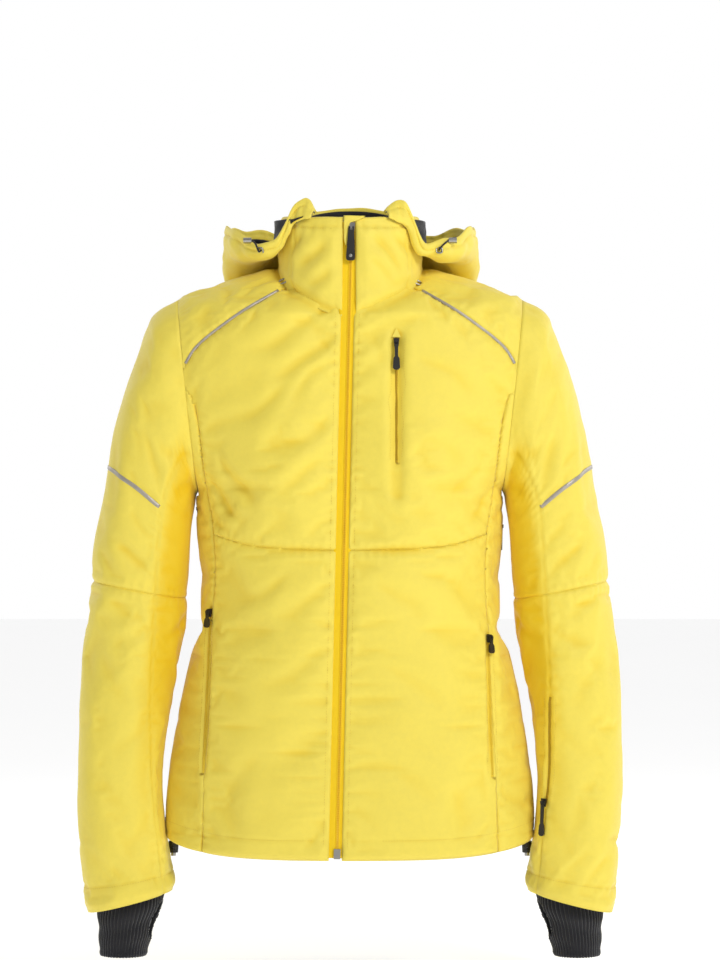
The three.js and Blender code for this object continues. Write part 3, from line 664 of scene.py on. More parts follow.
def spread_grid(coarse, rows, cols, step):
    """A field on every step-th row and column, spread smoothly over the whole grid."""
    r = np.minimum(np.arange(rows) / step, coarse.shape[0] - 1)
    c = np.minimum(np.arange(cols) / step, coarse.shape[1] - 1)
    r0 = np.minimum(r.astype(int), coarse.shape[0] - 2)
    c0 = np.minimum(c.astype(int), coarse.shape[1] - 2)
    fr, fc = smooth(r - r0)[:, None, None], smooth(c - c0)[None, :, None]
    fr, fc = 0.5 * fr + 0.5 * (r - r0)[:, None, None], 0.5 * fc + 0.5 * (c - c0)[None, :, None]
    low = coarse[r0][:, c0] * (1 - fc) + coarse[r0][:, c0 + 1] * fc
    high = coarse[r0 + 1][:, c0] * (1 - fc) + coarse[r0 + 1][:, c0 + 1] * fc
    return low * (1 - fr) + high * fr


def cloth_folds(name, grid, out, held, growth, cap, wrap=False):
    """How far a padded cover lifts and sinks when its cloth is cut a little larger than its sewn edges.

    held is 1 at the seams that hold it and 0 where it is free. The cloth grows by growth, buckles between
    its seams, and the movement along the outward direction is capped.
    """
    rows, cols, _ = grid.shape
    step = CLOTH_STEP
    start = grid[::step, ::step]
    r, c, _ = start.shape
    obj = make_mesh(name, start.reshape(-1, 3), grid_faces(r, c, wrap=wrap), SHELL)
    group = obj.vertex_groups.new(name="held")
    weight = held[::step, ::step].reshape(-1)
    for level in np.linspace(0.1, 1, 10):
        chosen = np.nonzero(np.round(weight, 1) == round(float(level), 1))[0]
        if len(chosen):
            group.add(chosen.tolist(), float(level), "REPLACE")
    modifier = obj.modifiers.new("cloth", "CLOTH")
    cloth = modifier.settings
    cloth.quality = 5
    cloth.mass = 0.15
    cloth.tension_stiffness = 12
    cloth.compression_stiffness = 12
    cloth.shear_stiffness = 4
    cloth.bending_stiffness = 0.35
    cloth.air_damping = 4
    cloth.shrink_min = -growth
    cloth.shrink_max = -growth
    cloth.vertex_group_mass = "held"
    cloth.use_pressure = True
    cloth.uniform_pressure_force = 0.25
    cloth.effector_weights.gravity = 0
    modifier.collision_settings.use_collision = False
    modifier.collision_settings.use_self_collision = False
    scene = bpy.context.scene
    for number in range(CLOTH_FRAMES):
        scene.frame_set(number + 1)
    graph = bpy.context.evaluated_depsgraph_get()
    mesh = obj.evaluated_get(graph).data
    settled = np.zeros(len(mesh.vertices) * 3)
    mesh.vertices.foreach_get("co", settled)
    scene.frame_set(1)
    bpy.data.objects.remove(obj)
    moved = (settled.reshape(r, c, 3) / MM - start) * out[::step, ::step]
    moved = cap * np.tanh(moved.sum(-1) / cap)
    if wrap:
        moved = np.concatenate([moved, moved[:, :1]], 1)
    return spread_grid(moved[..., None], rows, cols, step)[..., 0]


# ---------------------------------------------------------------- the torso


def torso_rows():
    z = np.linspace(HEM_ROW, 10, 3000)
    slope = np.maximum(np.abs(np.gradient(half_width(z))), np.abs(np.gradient(back_depth(z))))
    run = np.cumsum(np.hypot(np.gradient(z), slope))
    return np.interp(np.arange(run[0], run[-1], 2.7), run, z)


def torso_grid():
    hem_share = np.linspace(1, 0, 34)[:-1]
    heights = torso_rows()
    rows = [(HEM_ROW, f) for f in hem_share] + [(z, 0.0) for z in heights]
    grid = np.zeros((len(rows), 384, 3))
    for r, (z, f) in enumerate(rows):
        level = lerp(z, -650.0, f)
        first = math.asin(min(1, spow((zip_x(level) + ZIP_LEFT) / half_width(level), POWER / 2)))
        last = 2 * math.pi + math.asin(spow((zip_x(level) - ZIP_RIGHT) / half_width(level), POWER / 2))
        angle = np.linspace(first, last, 1600)
        height = lerp(z, hem_at(angle), f)
        ring = body_point(angle, height)
        grid[r] = resample(ring, 384)
    return grid


PANEL_NAMES = ["chest_panel", "front_panel", "shoulder_yoke", "side_panel", "back_yoke", "back_panel"]


def panel_of(centre):
    """The number of the panel that each face centre is in."""
    x, y, z = np.abs(centre[:, 0]), centre[:, 1], centre[:, 2]
    piping = np.array(PIPING, float)
    side = np.array(SIDE_SEAM, float)[::-1]
    chest = np.array(CHEST_SEAM, float)
    back = np.array(BACK_SEAM, float)[::-1]
    above_piping = (x > 70) & (z > np.interp(x, piping[:, 0], piping[:, 1]))
    outside = (z < -126) & (x > np.interp(z, side[:, 1], side[:, 0]))
    above_chest = z > np.interp(x, chest[:, 0], chest[:, 1])
    front = np.where(above_piping, 2, np.where(outside, 3, np.where(above_chest, 0, 1)))
    behind = np.where(z > YOKE_Z, 4, np.where(x > np.interp(z, back[:, 1], back[:, 0]), 3, 5))
    return np.where(y < CENTRE_Y, front, behind)


def torso_seams():
    yoke = [(x, YOKE_Z) for x in np.linspace(-196, 196, 30)]
    seams = []
    for side, _ in SIDES:
        seams += [on_body(PIPING, front_y, side), on_body(SIDE_SEAM, front_y, side)]
        seams += [on_body(BACK_SEAM, back_y, side)]
    seams += [on_body(CHEST_SEAM, front_y), on_body([(14, -310)] + CHEST_SEAM[1:], front_y, -1)]
    seams += [on_body(yoke, back_y)]
    return seams


# Each pocket or vent of the torso: its two ends, the half width of its sunk opening and its welt's height.
POCKET_LINES = {
    "chest": (((51, -74), (51, -214)), 1.9, 0.5),
    "hand_left": (((153, -402), (157, -560)), 2.1, 0.9),
    "hand_right": (((-155, -374), (-162, -556)), 2.1, 0.9),
    "vent_left": ((93, -278), 2.4, 0.7),
    "vent_right": ((-93, -258), 2.4, 0.7),
}
VENT_LENGTH = 105
TAB_ROOM = 34  # how far past a zip's lower end its tab can hang
VENT_HOLLOW = 4.6  # how deep a sleeve's inner side gives way to the tab of the vent beside it
VENT_SIDE = 191  # where that hollow's middle is, in degrees round the sleeve
VENT_STATION = 3.8  # and how far down the sleeve, in stations
NECK_FLOOR = -70  # the neck's seam is above this height everywhere
FAR = 1e3  # a distance at which a seam has no effect
ARMHOLE_LEVEL = 0.9  # how far body and sleeve both stand off the pattern where they are sewn together


def pocket_path(ends):
    """The line of a front pocket between two (x, z) points, or of a vent down from (degrees, z)."""
    if isinstance(ends[0], tuple):
        (x0, z0), (x1, z1) = ends
        t = np.linspace(0, 1, 60)
        x, z = lerp(x0, x1, t), lerp(z0, z1, t)
        return np.stack([x, front_y(x, z), z], -1)
    z = np.linspace(ends[1], ends[1] - VENT_LENGTH, 50)
    return body_point(np.full(50, math.radians(ends[0])), z)


def panel_seams(base):
    """The relief beside the panels' seams and the distance to the nearest; snaps points onto the seams."""
    seams = torso_seams()
    relief = np.zeros(len(base))
    gap = np.full(len(base), 1e9)
    for number, line in enumerate(seams):
        d, s, nearest = along(base, line)
        same_side = np.sign(base[:, 1] - CENTRE_Y) == np.sign(line[len(line) // 2, 1] - CENTRE_Y)
        d = np.where(same_side | (d < 6), d, FAR)
        snap = (d < 1.35) & (base[:, 2] < -20)
        base[snap] = nearest[snap]
        strong = 1.0 if number not in (6, 7) else 0.55
        term = seam_relief(d, s, number)
        closer = d < gap
        relief = np.where(closer, term * strong, relief)
        gap = np.minimum(gap, d)
    return relief, gap


def sink_pockets(relief, base, out):
    """The relief with each pocket's welts, and a channel that its slider and tab run in."""
    for line, width, welt in POCKET_LINES.values():
        path = pocket_path(line)
        leg = path[-1] - path[0]
        run = np.stack([path[0], path[-1] + unit(leg) * TAB_ROOM])
        d, _, foot = along(base, run)
        level = np.minimum(((foot - base) * out).sum(1), 0)
        relief = lerp(relief, level - 0.1, 0.96 * bell(np.maximum(d - 3, 0), 6))
        d, _, _ = along(base, path)
        relief += -(relief - level + 1.7) * bell(d, width) + welt * bell(d - 8.0, 2.4)
    return relief


def build_torso():
    grid = torso_grid()
    shape = grid.shape
    base = grid.reshape(-1, 3)
    relief, gap = panel_seams(base)
    grid = base.reshape(shape)
    out = grid_normals(grid).reshape(-1, 3)
    x, y, z = base.T
    armhole = np.abs((np.abs(x) - armhole_x(z)) * 0.9945)
    armhole = np.where(z > -250, armhole, FAR)
    relief += np.where(armhole < gap, seam_relief(armhole, z + y, 21, groove=0.9, puff=0.4), 0) * (z > -246)
    neck = np.where(z > NECK_FLOOR, (neck_share(x, y, z) ** (1 / POWER) - 1) * 80, FAR)
    relief += (1.0 * bell(neck - 15, 7) - 2.4 * bell(neck - 2, 4)) * smooth((z + 60) / 14)
    hem = (z - hem_at(np.arctan2(spow(x / half_width(z), POWER / 2), -(y - CENTRE_Y))))
    relief += -0.9 * bell(hem - 22, 1.6) - 1.6 * bell(hem, 4)
    front = y < CENTRE_Y
    flat = np.stack([x, z], -1)
    folds = np.where(front, creases(flat, FRONT_CREASES), creases(flat, BACK_CREASES))
    zipper = np.minimum(np.abs(x - zip_x(z) - ZIP_LEFT), np.abs(x - zip_x(z) + ZIP_RIGHT))
    zipper = np.where(front & (z < -30), zipper, FAR)
    calm = smooth(gap / 14) * smooth(zipper / 12) * smooth((hem + 4) / 30)
    relief += 1.3 * folds * (0.35 + 0.65 * calm)
    edge = np.zeros(shape[:2])
    edge[:, :2] = edge[:, -2:] = edge[:1] = 1
    pinned = np.maximum(bell(np.minimum(gap, armhole), 5).reshape(shape[:2]), edge)
    pinned = np.where(pinned > 0.35, 1.0, 0.0)
    settled = cloth_folds("torso_cloth", grid, out.reshape(shape), pinned, 0.024, 4.0)
    relief += settled.reshape(-1)
    relief += (0.9 * ripple(base, 110, 3) + 0.25 * ripple(base, 42, 5) + 0.07 * ripple(base, 15, 7)) * calm
    relief += seam_relief(zipper, z, 31, groove=0.3, puff=1.5, reach=9, pucker=0.8, pitch=13)
    relief += 1.6
    relief = lerp(relief, ARMHOLE_LEVEL, bell(armhole, 6) * smooth((z + 250) / 15))
    relief = sink_pockets(relief, base, out)
    moved = base + out * relief[:, None]
    # painted shade: how far the fabric's colour deepens in the creases and seam grooves of the torso
    fold = valley(relief.reshape(shape[:2]), 14)
    return moved.reshape(shape), base.reshape(shape), fold


def panel_objects(moved, base, fold):
    """Each panel's points, faces and painted fold shade, by its name."""
    rows, cols, _ = moved.shape
    faces = grid_faces(rows, cols)
    centre = base.reshape(-1, 3)[faces].mean(1)
    x, y, z = centre.T
    keep = ~((neck_share(x, y, z, 4) < 1) & (z > NECK_FLOOR))
    faces, centre = faces[keep], centre[keep]
    number = panel_of(centre)
    made = {}
    for kind, base_name in enumerate(PANEL_NAMES):
        whole = base_name.startswith("back")
        for side, label in ((0, ""),) if whole else SIDES:
            mine = number == kind
            if side:
                edge = zip_x(centre[:, 2])
                mine &= (centre[:, 0] > edge) if side > 0 else (centre[:, 0] < edge)
            name = base_name if whole else f"{base_name}_{label}"
            verts, local, used = compact(moved.reshape(-1, 3), faces[mine])
            made[name] = (verts, local, fold.reshape(-1)[used])
    return made


PADDED = 2.4  # the thickness of a padded panel or sleeve
ARMHOLE_FLOOR = -0.2475  # the armholes' cut reaches down to here, in metres


def cut_armholes(name, verts, faces, fold):
    """A panel's mesh cut off at both armhole planes, then given its thickness."""
    obj = make_mesh(name, verts, faces, SHELL)
    mesh = obj.data
    set_painted_fold_shade(obj, fold)
    work = bmesh.new()
    work.from_mesh(mesh)
    for side, _ in SIDES:
        middle, normal = armhole_plane(side)
        centres = [(f, f.calc_center_median()) for f in work.faces]
        zone = [f for f, centre in centres if centre.z > ARMHOLE_FLOOR and side * centre.x > 0.1]
        geometry = set(zone)
        for f in zone:
            geometry.update(f.edges)
            geometry.update(f.verts)
        if zone:
            bmesh.ops.bisect_plane(work, geom=list(geometry), dist=1e-6, plane_co=middle, plane_no=normal,
                                   clear_outer=True)
    centres = [(f, f.calc_center_median()) for f in work.faces]
    stray = [f for f, centre in centres
             if centre.z > ARMHOLE_FLOOR and abs(centre.x) / MM > armhole_x(centre.z / MM) + 0.2]
    bmesh.ops.delete(work, geom=stray, context="FACES")
    loose = [v for v in work.verts if not v.link_faces]
    bmesh.ops.delete(work, geom=loose, context="VERTS")
    work.to_mesh(mesh)
    work.free()
    thicken(obj)
    return obj


def thicken(obj):
    """Gives a padded sheet its thickness, as closed geometry."""
    modifier = obj.modifiers.new("thickness", "SOLIDIFY")
    modifier.thickness = PADDED * MM
    modifier.offset = -1
    modifier.use_even_offset = False
    graph = bpy.context.evaluated_depsgraph_get()
    mesh = bpy.data.meshes.new_from_object(obj.evaluated_get(graph))
    obj.modifiers.clear()
    old = obj.data
    obj.data = mesh
    mesh.name = obj.name
    bpy.data.meshes.remove(old)


# ---------------------------------------------------------------- the sleeves

# Stations down a sleeve: its outer (x, z), its inner (x, z), its middle's y and its half depth.
SLEEVE = [
    (193, -31, 171, -241, -65, 70), (217, -46, 172, -250, -66, 69), (238, -90, 172.5, -262, -68, 67),
    (252, -140, 173.5, -276, -70, 65), (264, -200, 175, -292, -72, 63), (273, -255, 177, -312, -73, 61),
    (282, -305, 180, -340, -74, 59), (288, -361, 185, -376, -76, 57), (294, -427, 193, -432, -80, 55),
    (298, -500, 201, -500, -86, 53), (299, -570, 207, -566, -92, 51), (297, -640, 203, -634, -97, 49),
    (291, -714, 197, -690, -101, 47)]
SLEEVE_POWER = 2.2
STATION = 52  # about how far apart two stations of a sleeve are
sleeve_curves = [curve([(i, s[k]) for i, s in enumerate(SLEEVE)]) for k in range(6)]


def sleeve_point(station, angle, side=1):
    ox, oz, ix, iz, y, depth = [c(station) for c in sleeve_curves]
    across = spow(np.cos(angle), 2 / SLEEVE_POWER)
    x = (ox + ix) / 2 + across * (ox - ix) / 2
    z = (oz + iz) / 2 + across * (oz - iz) / 2
    return np.stack([side * x, y - depth * spow(np.sin(angle), 2 / SLEEVE_POWER), z], -1)


def armhole_ring(angle):
    """Where the armhole plane meets the body, in each direction from the middle of the armhole."""
    (tx, tz), (bx, bz) = ARMHOLE
    across = np.array([tx - bx, 0, tz - bz]) / 2
    middle = np.array([(tx + bx) / 2, -65.0, (tz + bz) / 2])
    ray = np.cos(angle)[:, None] * across + np.sin(angle)[:, None] * np.array([0, -70.0, 0])
    low, high = np.full(len(angle), 0.3), np.full(len(angle), 1.8)
    falling = ray[:, 2] < -1
    high[falling] = np.minimum(1.8, (bz - 2 - middle[2]) / ray[falling, 2])
    for _ in range(24):
        t = (low + high) / 2
        p = middle + t[:, None] * ray
        inside = inside_body(p[:, 0], p[:, 1], p[:, 2])
        low, high = np.where(inside, t, low), np.where(inside, high, t)
    return middle + low[:, None] * ray


def sleeve_grid(first, last, spacing, cols, side):
    """Rings of a sleeve from one station to another; its first ring lies on the armhole."""
    station = np.linspace(first, last, 600)
    middle = (sleeve_point(station, np.zeros(600)) + sleeve_point(station, np.full(600, math.pi))) / 2
    run = distance_along(middle)
    rows = max(6, int(run[-1] / spacing))
    stations = np.interp(np.linspace(0, run[-1], rows), run, station)
    angle = np.linspace(0, 2 * math.pi, cols, endpoint=False)
    grid = sleeve_point(stations[:, None], angle[None, :])
    rim = armhole_ring(angle)
    share = smooth(stations / 1.3)[:, None, None]
    plain = sleeve_point(np.zeros(1)[:, None], angle[None, :])
    grid = grid + (1 - share) * (rim[None] - plain)
    grid[..., 0] += 1.4 * share[..., 0]
    grid[..., 0] *= side
    if side < 0:
        grid = grid[:, ::-1]
        angle = angle[::-1]
    return grid, stations, angle, np.interp(stations, station, run)


def sleeve_wrinkles(stations, angle, folds):
    """Soft folds given as (station, degrees) ends with a half width in mm and a depth."""
    flat_s, flat_a = np.meshgrid(stations, np.degrees(angle), indexing="ij")
    total = np.zeros(flat_s.shape)
    for s0, a0, s1, a1, width, depth in folds:
        leg = np.array([s1 * STATION - s0 * STATION, a1 - a0], float)
        turn = (flat_a - a0 + 180) % 360 - 180
        place = np.stack([(flat_s - s0) * STATION, turn], -1)
        total += fold_relief(place, leg, width, depth, 0.35, 0.35, (0.5, 0.4))
    return total


UPPER_FOLDS = [
    (0.4, 128, 2.8, 96, 7, 3.0), (0.8, 150, 3.4, 118, 7, 2.6), (1.6, 165, 4.0, 140, 6, 2.2),
    (2.6, 60, 4.0, 110, 8, 1.3), (4.8, 60, 5.8, 125, 7, 1.6), (5.6, 45, 6.5, 120, 6, 2.0),
    (6.0, 130, 6.6, 190, 6, 2.0), (5.2, 200, 6.2, 150, 6, 1.8), (0.6, 240, 2.8, 282, 7, 2.0),
    (1.2, 215, 3.4, 245, 6, 2.0), (5.4, 320, 6.5, 250, 7, 2.0), (3.4, 20, 5.2, 50, 9, 1.2),
    (4.4, 300, 5.6, 240, 8, 1.5), (2.2, 330, 4.0, 290, 9, 1.1)]
LOWER_FOLDS = [
    (6.9, 40, 7.6, 118, 6, 2.2), (7.2, 130, 7.9, 60, 7, 1.7), (7.0, 190, 7.7, 130, 6, 2.2),
    (7.9, 40, 8.9, 100, 8, 1.6), (8.6, 150, 9.6, 70, 8, 1.4), (9.6, 40, 10.6, 105, 9, 1.4),
    (10.3, 150, 11.2, 80, 8, 1.3), (11.0, 30, 11.7, 95, 8, 1.5), (7.0, 320, 7.9, 240, 7, 2.2),
    (8.2, 230, 9.4, 300, 8, 1.5), (9.8, 320, 10.8, 250, 8, 1.4), (11.2, 200, 11.8, 140, 7, 1.4),
    (8.0, 200, 9.0, 165, 7, 1.5), (10.8, 300, 11.7, 240, 8, 1.3)]
# The seam down the inner front of each sleeve, as (station, degrees) points, and the pocket in it.
SLEEVE_POCKET = [(8.62, 122.0), (10.38, 141.0)]
SLEEVE_SEAM = [
    (0.0, 128), (2.5, 112), (4.3, 104), (6.0, 108), (7.5, 114), *SLEEVE_POCKET, (12.0, 146)]


def sleeve_pocket_path():
    (s0, a0), (s1, a1) = SLEEVE_POCKET
    t = np.linspace(0, 1, 50)
    path = sleeve_point(lerp(s0, s1, t), np.radians(lerp(a0, a1, t)))
    path[:, 0] += 1.4
    return path


def build_sleeve(part, side, label):
    upper = part == "upper"
    first, last = (0.0, ELBOW) if upper else (ELBOW, CUFF)
    cols = 150
    grid, stations, angle, run = sleeve_grid(first, last, 2.7, cols, side)
    shape = grid.shape
    out = grid_normals(grid, wrap=True)
    flat = grid.reshape(-1, 3)
    size = run[-1]
    from_top = np.repeat(run[:, None], cols, 1)
    from_end = size - from_top
    seam = curve(SLEEVE_SEAM)(stations)[:, None]
    turn = np.degrees(angle)[None, :] - seam
    girth = 1.05
    d_seam = np.abs(turn) * girth
    relief = seam_relief(d_seam, from_top, 40 + side, groove=1.4, puff=1.3, pucker=0.55)
    ends = (from_top, from_end)
    around = np.repeat(np.degrees(angle)[None, :], len(stations), 0) * girth
    elbow = seam_relief(from_end if upper else from_top, around, 54 + side, groove=0.9, puff=1.0, pucker=0.8)
    if upper:
        soft = {"groove": 0.9, "puff": 0.4, "reach": 20, "pucker": 0.8, "pitch": 17}
        relief = np.where(from_top < d_seam, seam_relief(from_top, around, 50 + side, **soft), relief)
        relief = np.where(from_end < np.minimum(d_seam, from_top), elbow, relief)
    else:
        relief = np.where(from_top < d_seam, elbow, relief)
        cuff = -1.0 * bell(from_end - 24, 1.6) - 1.4 * bell(from_end, 4) + 0.7 * bell(from_end - 12, 8)
        relief = relief + cuff
    calm = smooth(np.minimum(d_seam, np.minimum(*ends)) / 16)
    folds = sleeve_wrinkles(stations, angle, UPPER_FOLDS if upper else LOWER_FOLDS)
    relief = relief + folds * (0.4 + 0.6 * calm)
    held = np.where(np.minimum(np.minimum(*ends), d_seam) < 5, 1.0, 0.0)
    settled = cloth_folds(f"{part}_{label}_cloth", grid, out, held, 0.028, 3.2, wrap=True)
    relief = relief + settled * ((0.25 + 0.75 * smooth(from_top / 70)) if upper else 1) * 0.8
    wobble = bumps(grid, 90, 61 + side) + 0.3 * bumps(grid, 38, 63 + side) + 0.08 * bumps(grid, 14, 65)
    relief = relief + wobble * calm + 1.4
    if upper:
        relief = lerp(relief, ARMHOLE_LEVEL, bell(from_top, 6))
    if not upper and side > 0:
        path = sleeve_pocket_path()
        d, _, _ = along(flat, path)
        d = d.reshape(shape[:2])
        relief = relief - (relief + 1.0) * bell(d, 2.6) + 0.7 * bell(d - 6, 2.6)
    inner = smooth((np.degrees(angle) - 125) / 30) * smooth((245 - np.degrees(angle)) / 30)
    relief = lerp(relief, -0.2, 0.9 * inner[None, :] * smooth((7.2 - stations) / 0.9)[:, None])
    if upper:
        across = bell(np.degrees(angle) - VENT_SIDE, 22)[None, :]
        relief -= VENT_HOLLOW * across * bell(stations - VENT_STATION, 1.8)[:, None]
    grid = grid + out * relief[..., None]
    # Painted shade: the side of the sleeve that faces the body gets the deeper fold colour as if in shadow,
    # on top of the painted shade in its creases.
    inner_side_shade_mask = smooth((np.degrees(angle) - 100) / 26) * smooth((262 - np.degrees(angle)) / 60)
    inner_sleeve_painted_shade = inner_side_shade_mask[None, :] * (smooth(stations / 1.7) * smooth((10.8 - stations) / 3))[:, None]
    fold = np.minimum(0.95, valley(relief, 14, wrap=True) + 0.85 * inner_sleeve_painted_shade)
    return grid, out, fold


def sleeve_object(name, grid, out, fold):
    obj = make_mesh(name, *wall_of(grid, out, PADDED, wrap=True), SHELL)
    set_painted_fold_shade(obj, np.tile(fold.reshape(-1), 2))
    return obj


# ---------------------------------------------------------------- the collar


def collar_angles(count):
    """Angles from the zip's left edge round the back to its right edge, evenly spaced round the collar."""
    first = math.asin(spow(6.2 / 80, POWER / 2))
    last = 2 * math.pi - math.asin(spow(8.2 / 80, POWER / 2))
    dense = np.linspace(first, last, 3000)
    ring = collar_point(dense, np.zeros(3000))
    run = distance_along(ring)
    return np.interp(np.linspace(0, run[-1], count), run, dense)


DEGREE = 1.45  # how far apart two degrees of the collar are
COLLAR_HEIGHT = 88
# Soft folds of the collar, as (degrees from the front, height share) ends with a half width and a depth.
COLLAR_FOLDS = [
    (14, 0.86, 40, 0.30, 5, 2.2), (10, 0.62, 34, 0.18, 5, 1.6), (30, 0.80, 62, 0.42, 6, 1.8),
    (24, 0.22, 60, 0.10, 5, 1.6),
    (-12, 0.80, -44, 0.40, 6, 2.4), (-9, 0.52, -36, 0.16, 5, 1.6), (-34, 0.86, -64, 0.50, 6, 1.8),
    (-20, 0.16, -56, 0.12, 5, 1.4), (46, 0.66, 80, 0.30, 6, 1.6), (-50, 0.36, -84, 0.20, 6, 1.6),
    (120, 0.8, 150, 0.3, 7, 1.4), (-120, 0.8, -150, 0.3, 7, 1.4), (165, 0.3, 195, 0.7, 7, 1.2)]


def collar_fold_relief(angle, share):
    turn = (np.degrees(angle) + 180) % 360 - 180
    total = np.zeros(np.broadcast(turn, share).shape)
    for a0, v0, a1, v1, width, depth in COLLAR_FOLDS:
        leg = np.array([(a1 - a0) * DEGREE, (v1 - v0) * COLLAR_HEIGHT])
        across = (turn - a0) * DEGREE + 0 * share
        upward = (share - v0) * COLLAR_HEIGHT + 0 * turn
        total += fold_relief(np.stack([across, upward], -1), leg, width, depth, 0.3, 0.4, (0.6, 0.4))
    return total


def build_collar():
    """The padded collar: up its outer wall, round a soft top edge and down the inner wall."""
    angle = collar_angles(230)
    top = collar_top(angle)
    base = collar_base(angle) - 5
    height = top - base
    up = np.linspace(0, 1, 44)[:, None]
    z = base + (height - 3) * up
    outer = collar_point(angle + 0 * up, z)
    roll = np.linspace(0, math.pi, 9)[1:-1, None]
    depth = 2.3 - 2.3 * np.cos(roll)
    rim = collar_point(angle + 0 * roll, top - 3 + 3 * np.sin(roll), depth)
    down = np.linspace(1, 0, 20)[:, None]
    inner = collar_point(angle + 0 * down, base + (height - 3) * down, 4.6)
    out = grid_normals(outer)
    above = z - collar_base(angle)
    from_top = top - z
    from_front = np.degrees(np.abs((angle + math.pi) % (2 * math.pi) - math.pi))
    hooded = 1 - smooth((from_front - 44) / 12)
    run = distance_along(outer[0])
    ends = np.minimum(run, run[-1] - run)
    puff = 4.2 * smooth(above / 15) * smooth((from_top - 3) / 14) - 2.6 * bell(above, 4.5)
    panel_edge = np.abs(from_front - 47) * DEGREE + 0 * z
    puff -= 1.5 * bell(panel_edge, 1.5) + 1.3 * np.exp(-panel_edge / 9)
    stitch = -1.1 * bell(from_top - 11, 1.5) + 1.0 * bell(from_top - 5, 4)
    stitch += 0.6 * np.sin(run / 2.1) * bell(from_top - 14, 5) - 1.0 * bell(ends - 8, 1.6)
    folds = 1.35 * collar_fold_relief(angle, up) * smooth(above / 8) * smooth(from_top / 12)
    wobble = 0.8 * bumps(outer, 30, 71) * smooth(from_top / 10)
    relief = (puff + stitch + folds + wobble) * (0.25 + 0.75 * hooded) * (0.4 + 0.6 * smooth(ends / 9))
    outer = outer + out * relief[..., None]
    last = relief[-1][None, :, None] * out[-1]
    rim = rim + last * (1 - np.linspace(0, 1, 7)[:, None, None])
    loop = np.concatenate([outer, rim, inner])
    loop[..., 2] += 0.7 * bumps(loop * (1, 1, 0), 34, 73) * smooth((loop[..., 2] - 20) / 30)
    rows, cols, _ = loop.shape
    faces = grid_faces(cols, rows, wrap=True)[:, ::-1]
    verts = loop.transpose(1, 0, 2).reshape(-1, 3)
    obj = make_mesh("collar_shell_padded", verts, faces.tolist() + end_caps(cols, rows), SHELL)
    # painted shade in the creases of the collar's outer wall
    fold = np.zeros((rows, cols))
    fold[:44] = valley(relief, 10)
    set_painted_fold_shade(obj, fold.T.reshape(-1))
    return obj


def build_collar_lining():
    angle = collar_angles(200)
    top = collar_top(angle) - 4
    base = collar_base(angle, 5.0) - 12
    share = np.linspace(0, 1, 36)[:, None]
    z = lerp(base, top, share)
    wall = collar_point(angle + 0 * share, z, 5.2)
    out = grid_normals(wall)
    quilt = 0.9 * bumps(wall, 26, 81) - 0.7 * bell(top - z - 6, 2)
    wall = wall - out * (0.9 + 0.6 * quilt)[..., None]
    return make_mesh("collar_lining_fleece", *wall_of(wall, out, 1.6), LINING)


# ---------------------------------------------------------------- the hood

# Sections of the hood lying down, as [out from the collar, z] points from the collar seam down, round and
# up to the rim. The angle is 0 at the centre back.
HOOD = [
    (0, [(4, 40), (14, 8), (24, -34), (36, -78), (47, -104),
         (64, -108), (80, -84), (88, -40), (88, 2), (80, 46)]),
    (45, [(4, 50), (9, 26), (20, -4), (36, -30), (53, -52),
         (68, -62), (80, -46), (88, -14), (87, 22), (78, 56)]),
    (88, [(4, 57), (5, 38), (9, 21), (17, 12), (28, 9),
         (40, 10), (50, 14), (57, 22), (60, 36), (57, 52)]),
    (112, [(4, 56), (5, 40), (7, 25), (12, 15), (19, 13),
         (26, 13), (32, 16), (36, 21), (36, 27), (33, 32)]),
    (124, [(4, 56), (4, 44), (5, 33), (7, 25), (10, 21),
         (13, 21), (16, 23), (18, 26), (19, 29), (18, 31)]),
    (131, [(4, 56), (4, 50), (5, 44), (6, 39), (8, 37),
         (10, 38), (11, 42), (11, 47), (10, 53), (8, 59)]),
    (136, [(4, 54), (5, 51), (6, 49), (7, 48), (8, 49),
         (8, 52), (8, 57), (7, 63), (6, 69), (4, 75)]),
    (141, [(4, 54), (5, 53), (5.5, 52), (6, 52), (6.5, 54),
         (6.5, 57), (5, 62), (3, 67), (0, 72), (-3, 77)]),
    (147, [(4, 54), (4.6, 54), (5, 54), (5.4, 55), (5.4, 57),
         (5, 60), (3.4, 64), (0.6, 68), (-3, 71), (-6, 72)]),
    (152, [(4, 56), (4.4, 56.4), (4.6, 57), (4.7, 58), (4.6, 59),
         (4, 61), (2.4, 63), (-1, 64.6), (-5, 65), (-8.6, 63)]),
]
HOOD_END = 152
hood_curves = [[curve([(angle, points[i][k]) for angle, points in HOOD]) for k in (0, 1)] for i in range(10)]


def hood_grid(cols, rows):
    degrees = np.linspace(-HOOD_END, HOOD_END, cols)
    angle = math.pi - np.radians(degrees)
    outward = unit(np.stack([np.sin(angle) / 82, -np.cos(angle) / 83, 0 * angle], -1))
    points = []
    for out_curve, z_curve in hood_curves:
        out, z = out_curve(np.abs(degrees)), z_curve(np.abs(degrees))
        p = collar_point(angle, np.minimum(z, 40)) + outward * out[:, None]
        floor = np.maximum(shoulder_height(p[:, 0], p[:, 1]) + 6.5, z - 60)
        p[:, 2] = z + 8 * np.log1p(np.exp((floor - z) / 8))
        points.append(p)
    lines = np.stack(points, 1)
    grid = np.zeros((rows, cols, 3))
    for c in range(cols):
        run = distance_along(lines[c])
        even = np.linspace(0, run[-1], 400)
        dense = np.stack([curve(list(zip(run, lines[c, :, k])))(even) for k in range(3)], -1)
        grid[:, c] = resample(dense, rows)
    for _ in range(3):
        grid[:, 1:-1] = (grid[:, :-2] + 2 * grid[:, 1:-1] + grid[:, 2:]) / 4
        grid[1:-1] = (grid[:-2] + 2 * grid[1:-1] + grid[2:]) / 4
    return grid, degrees


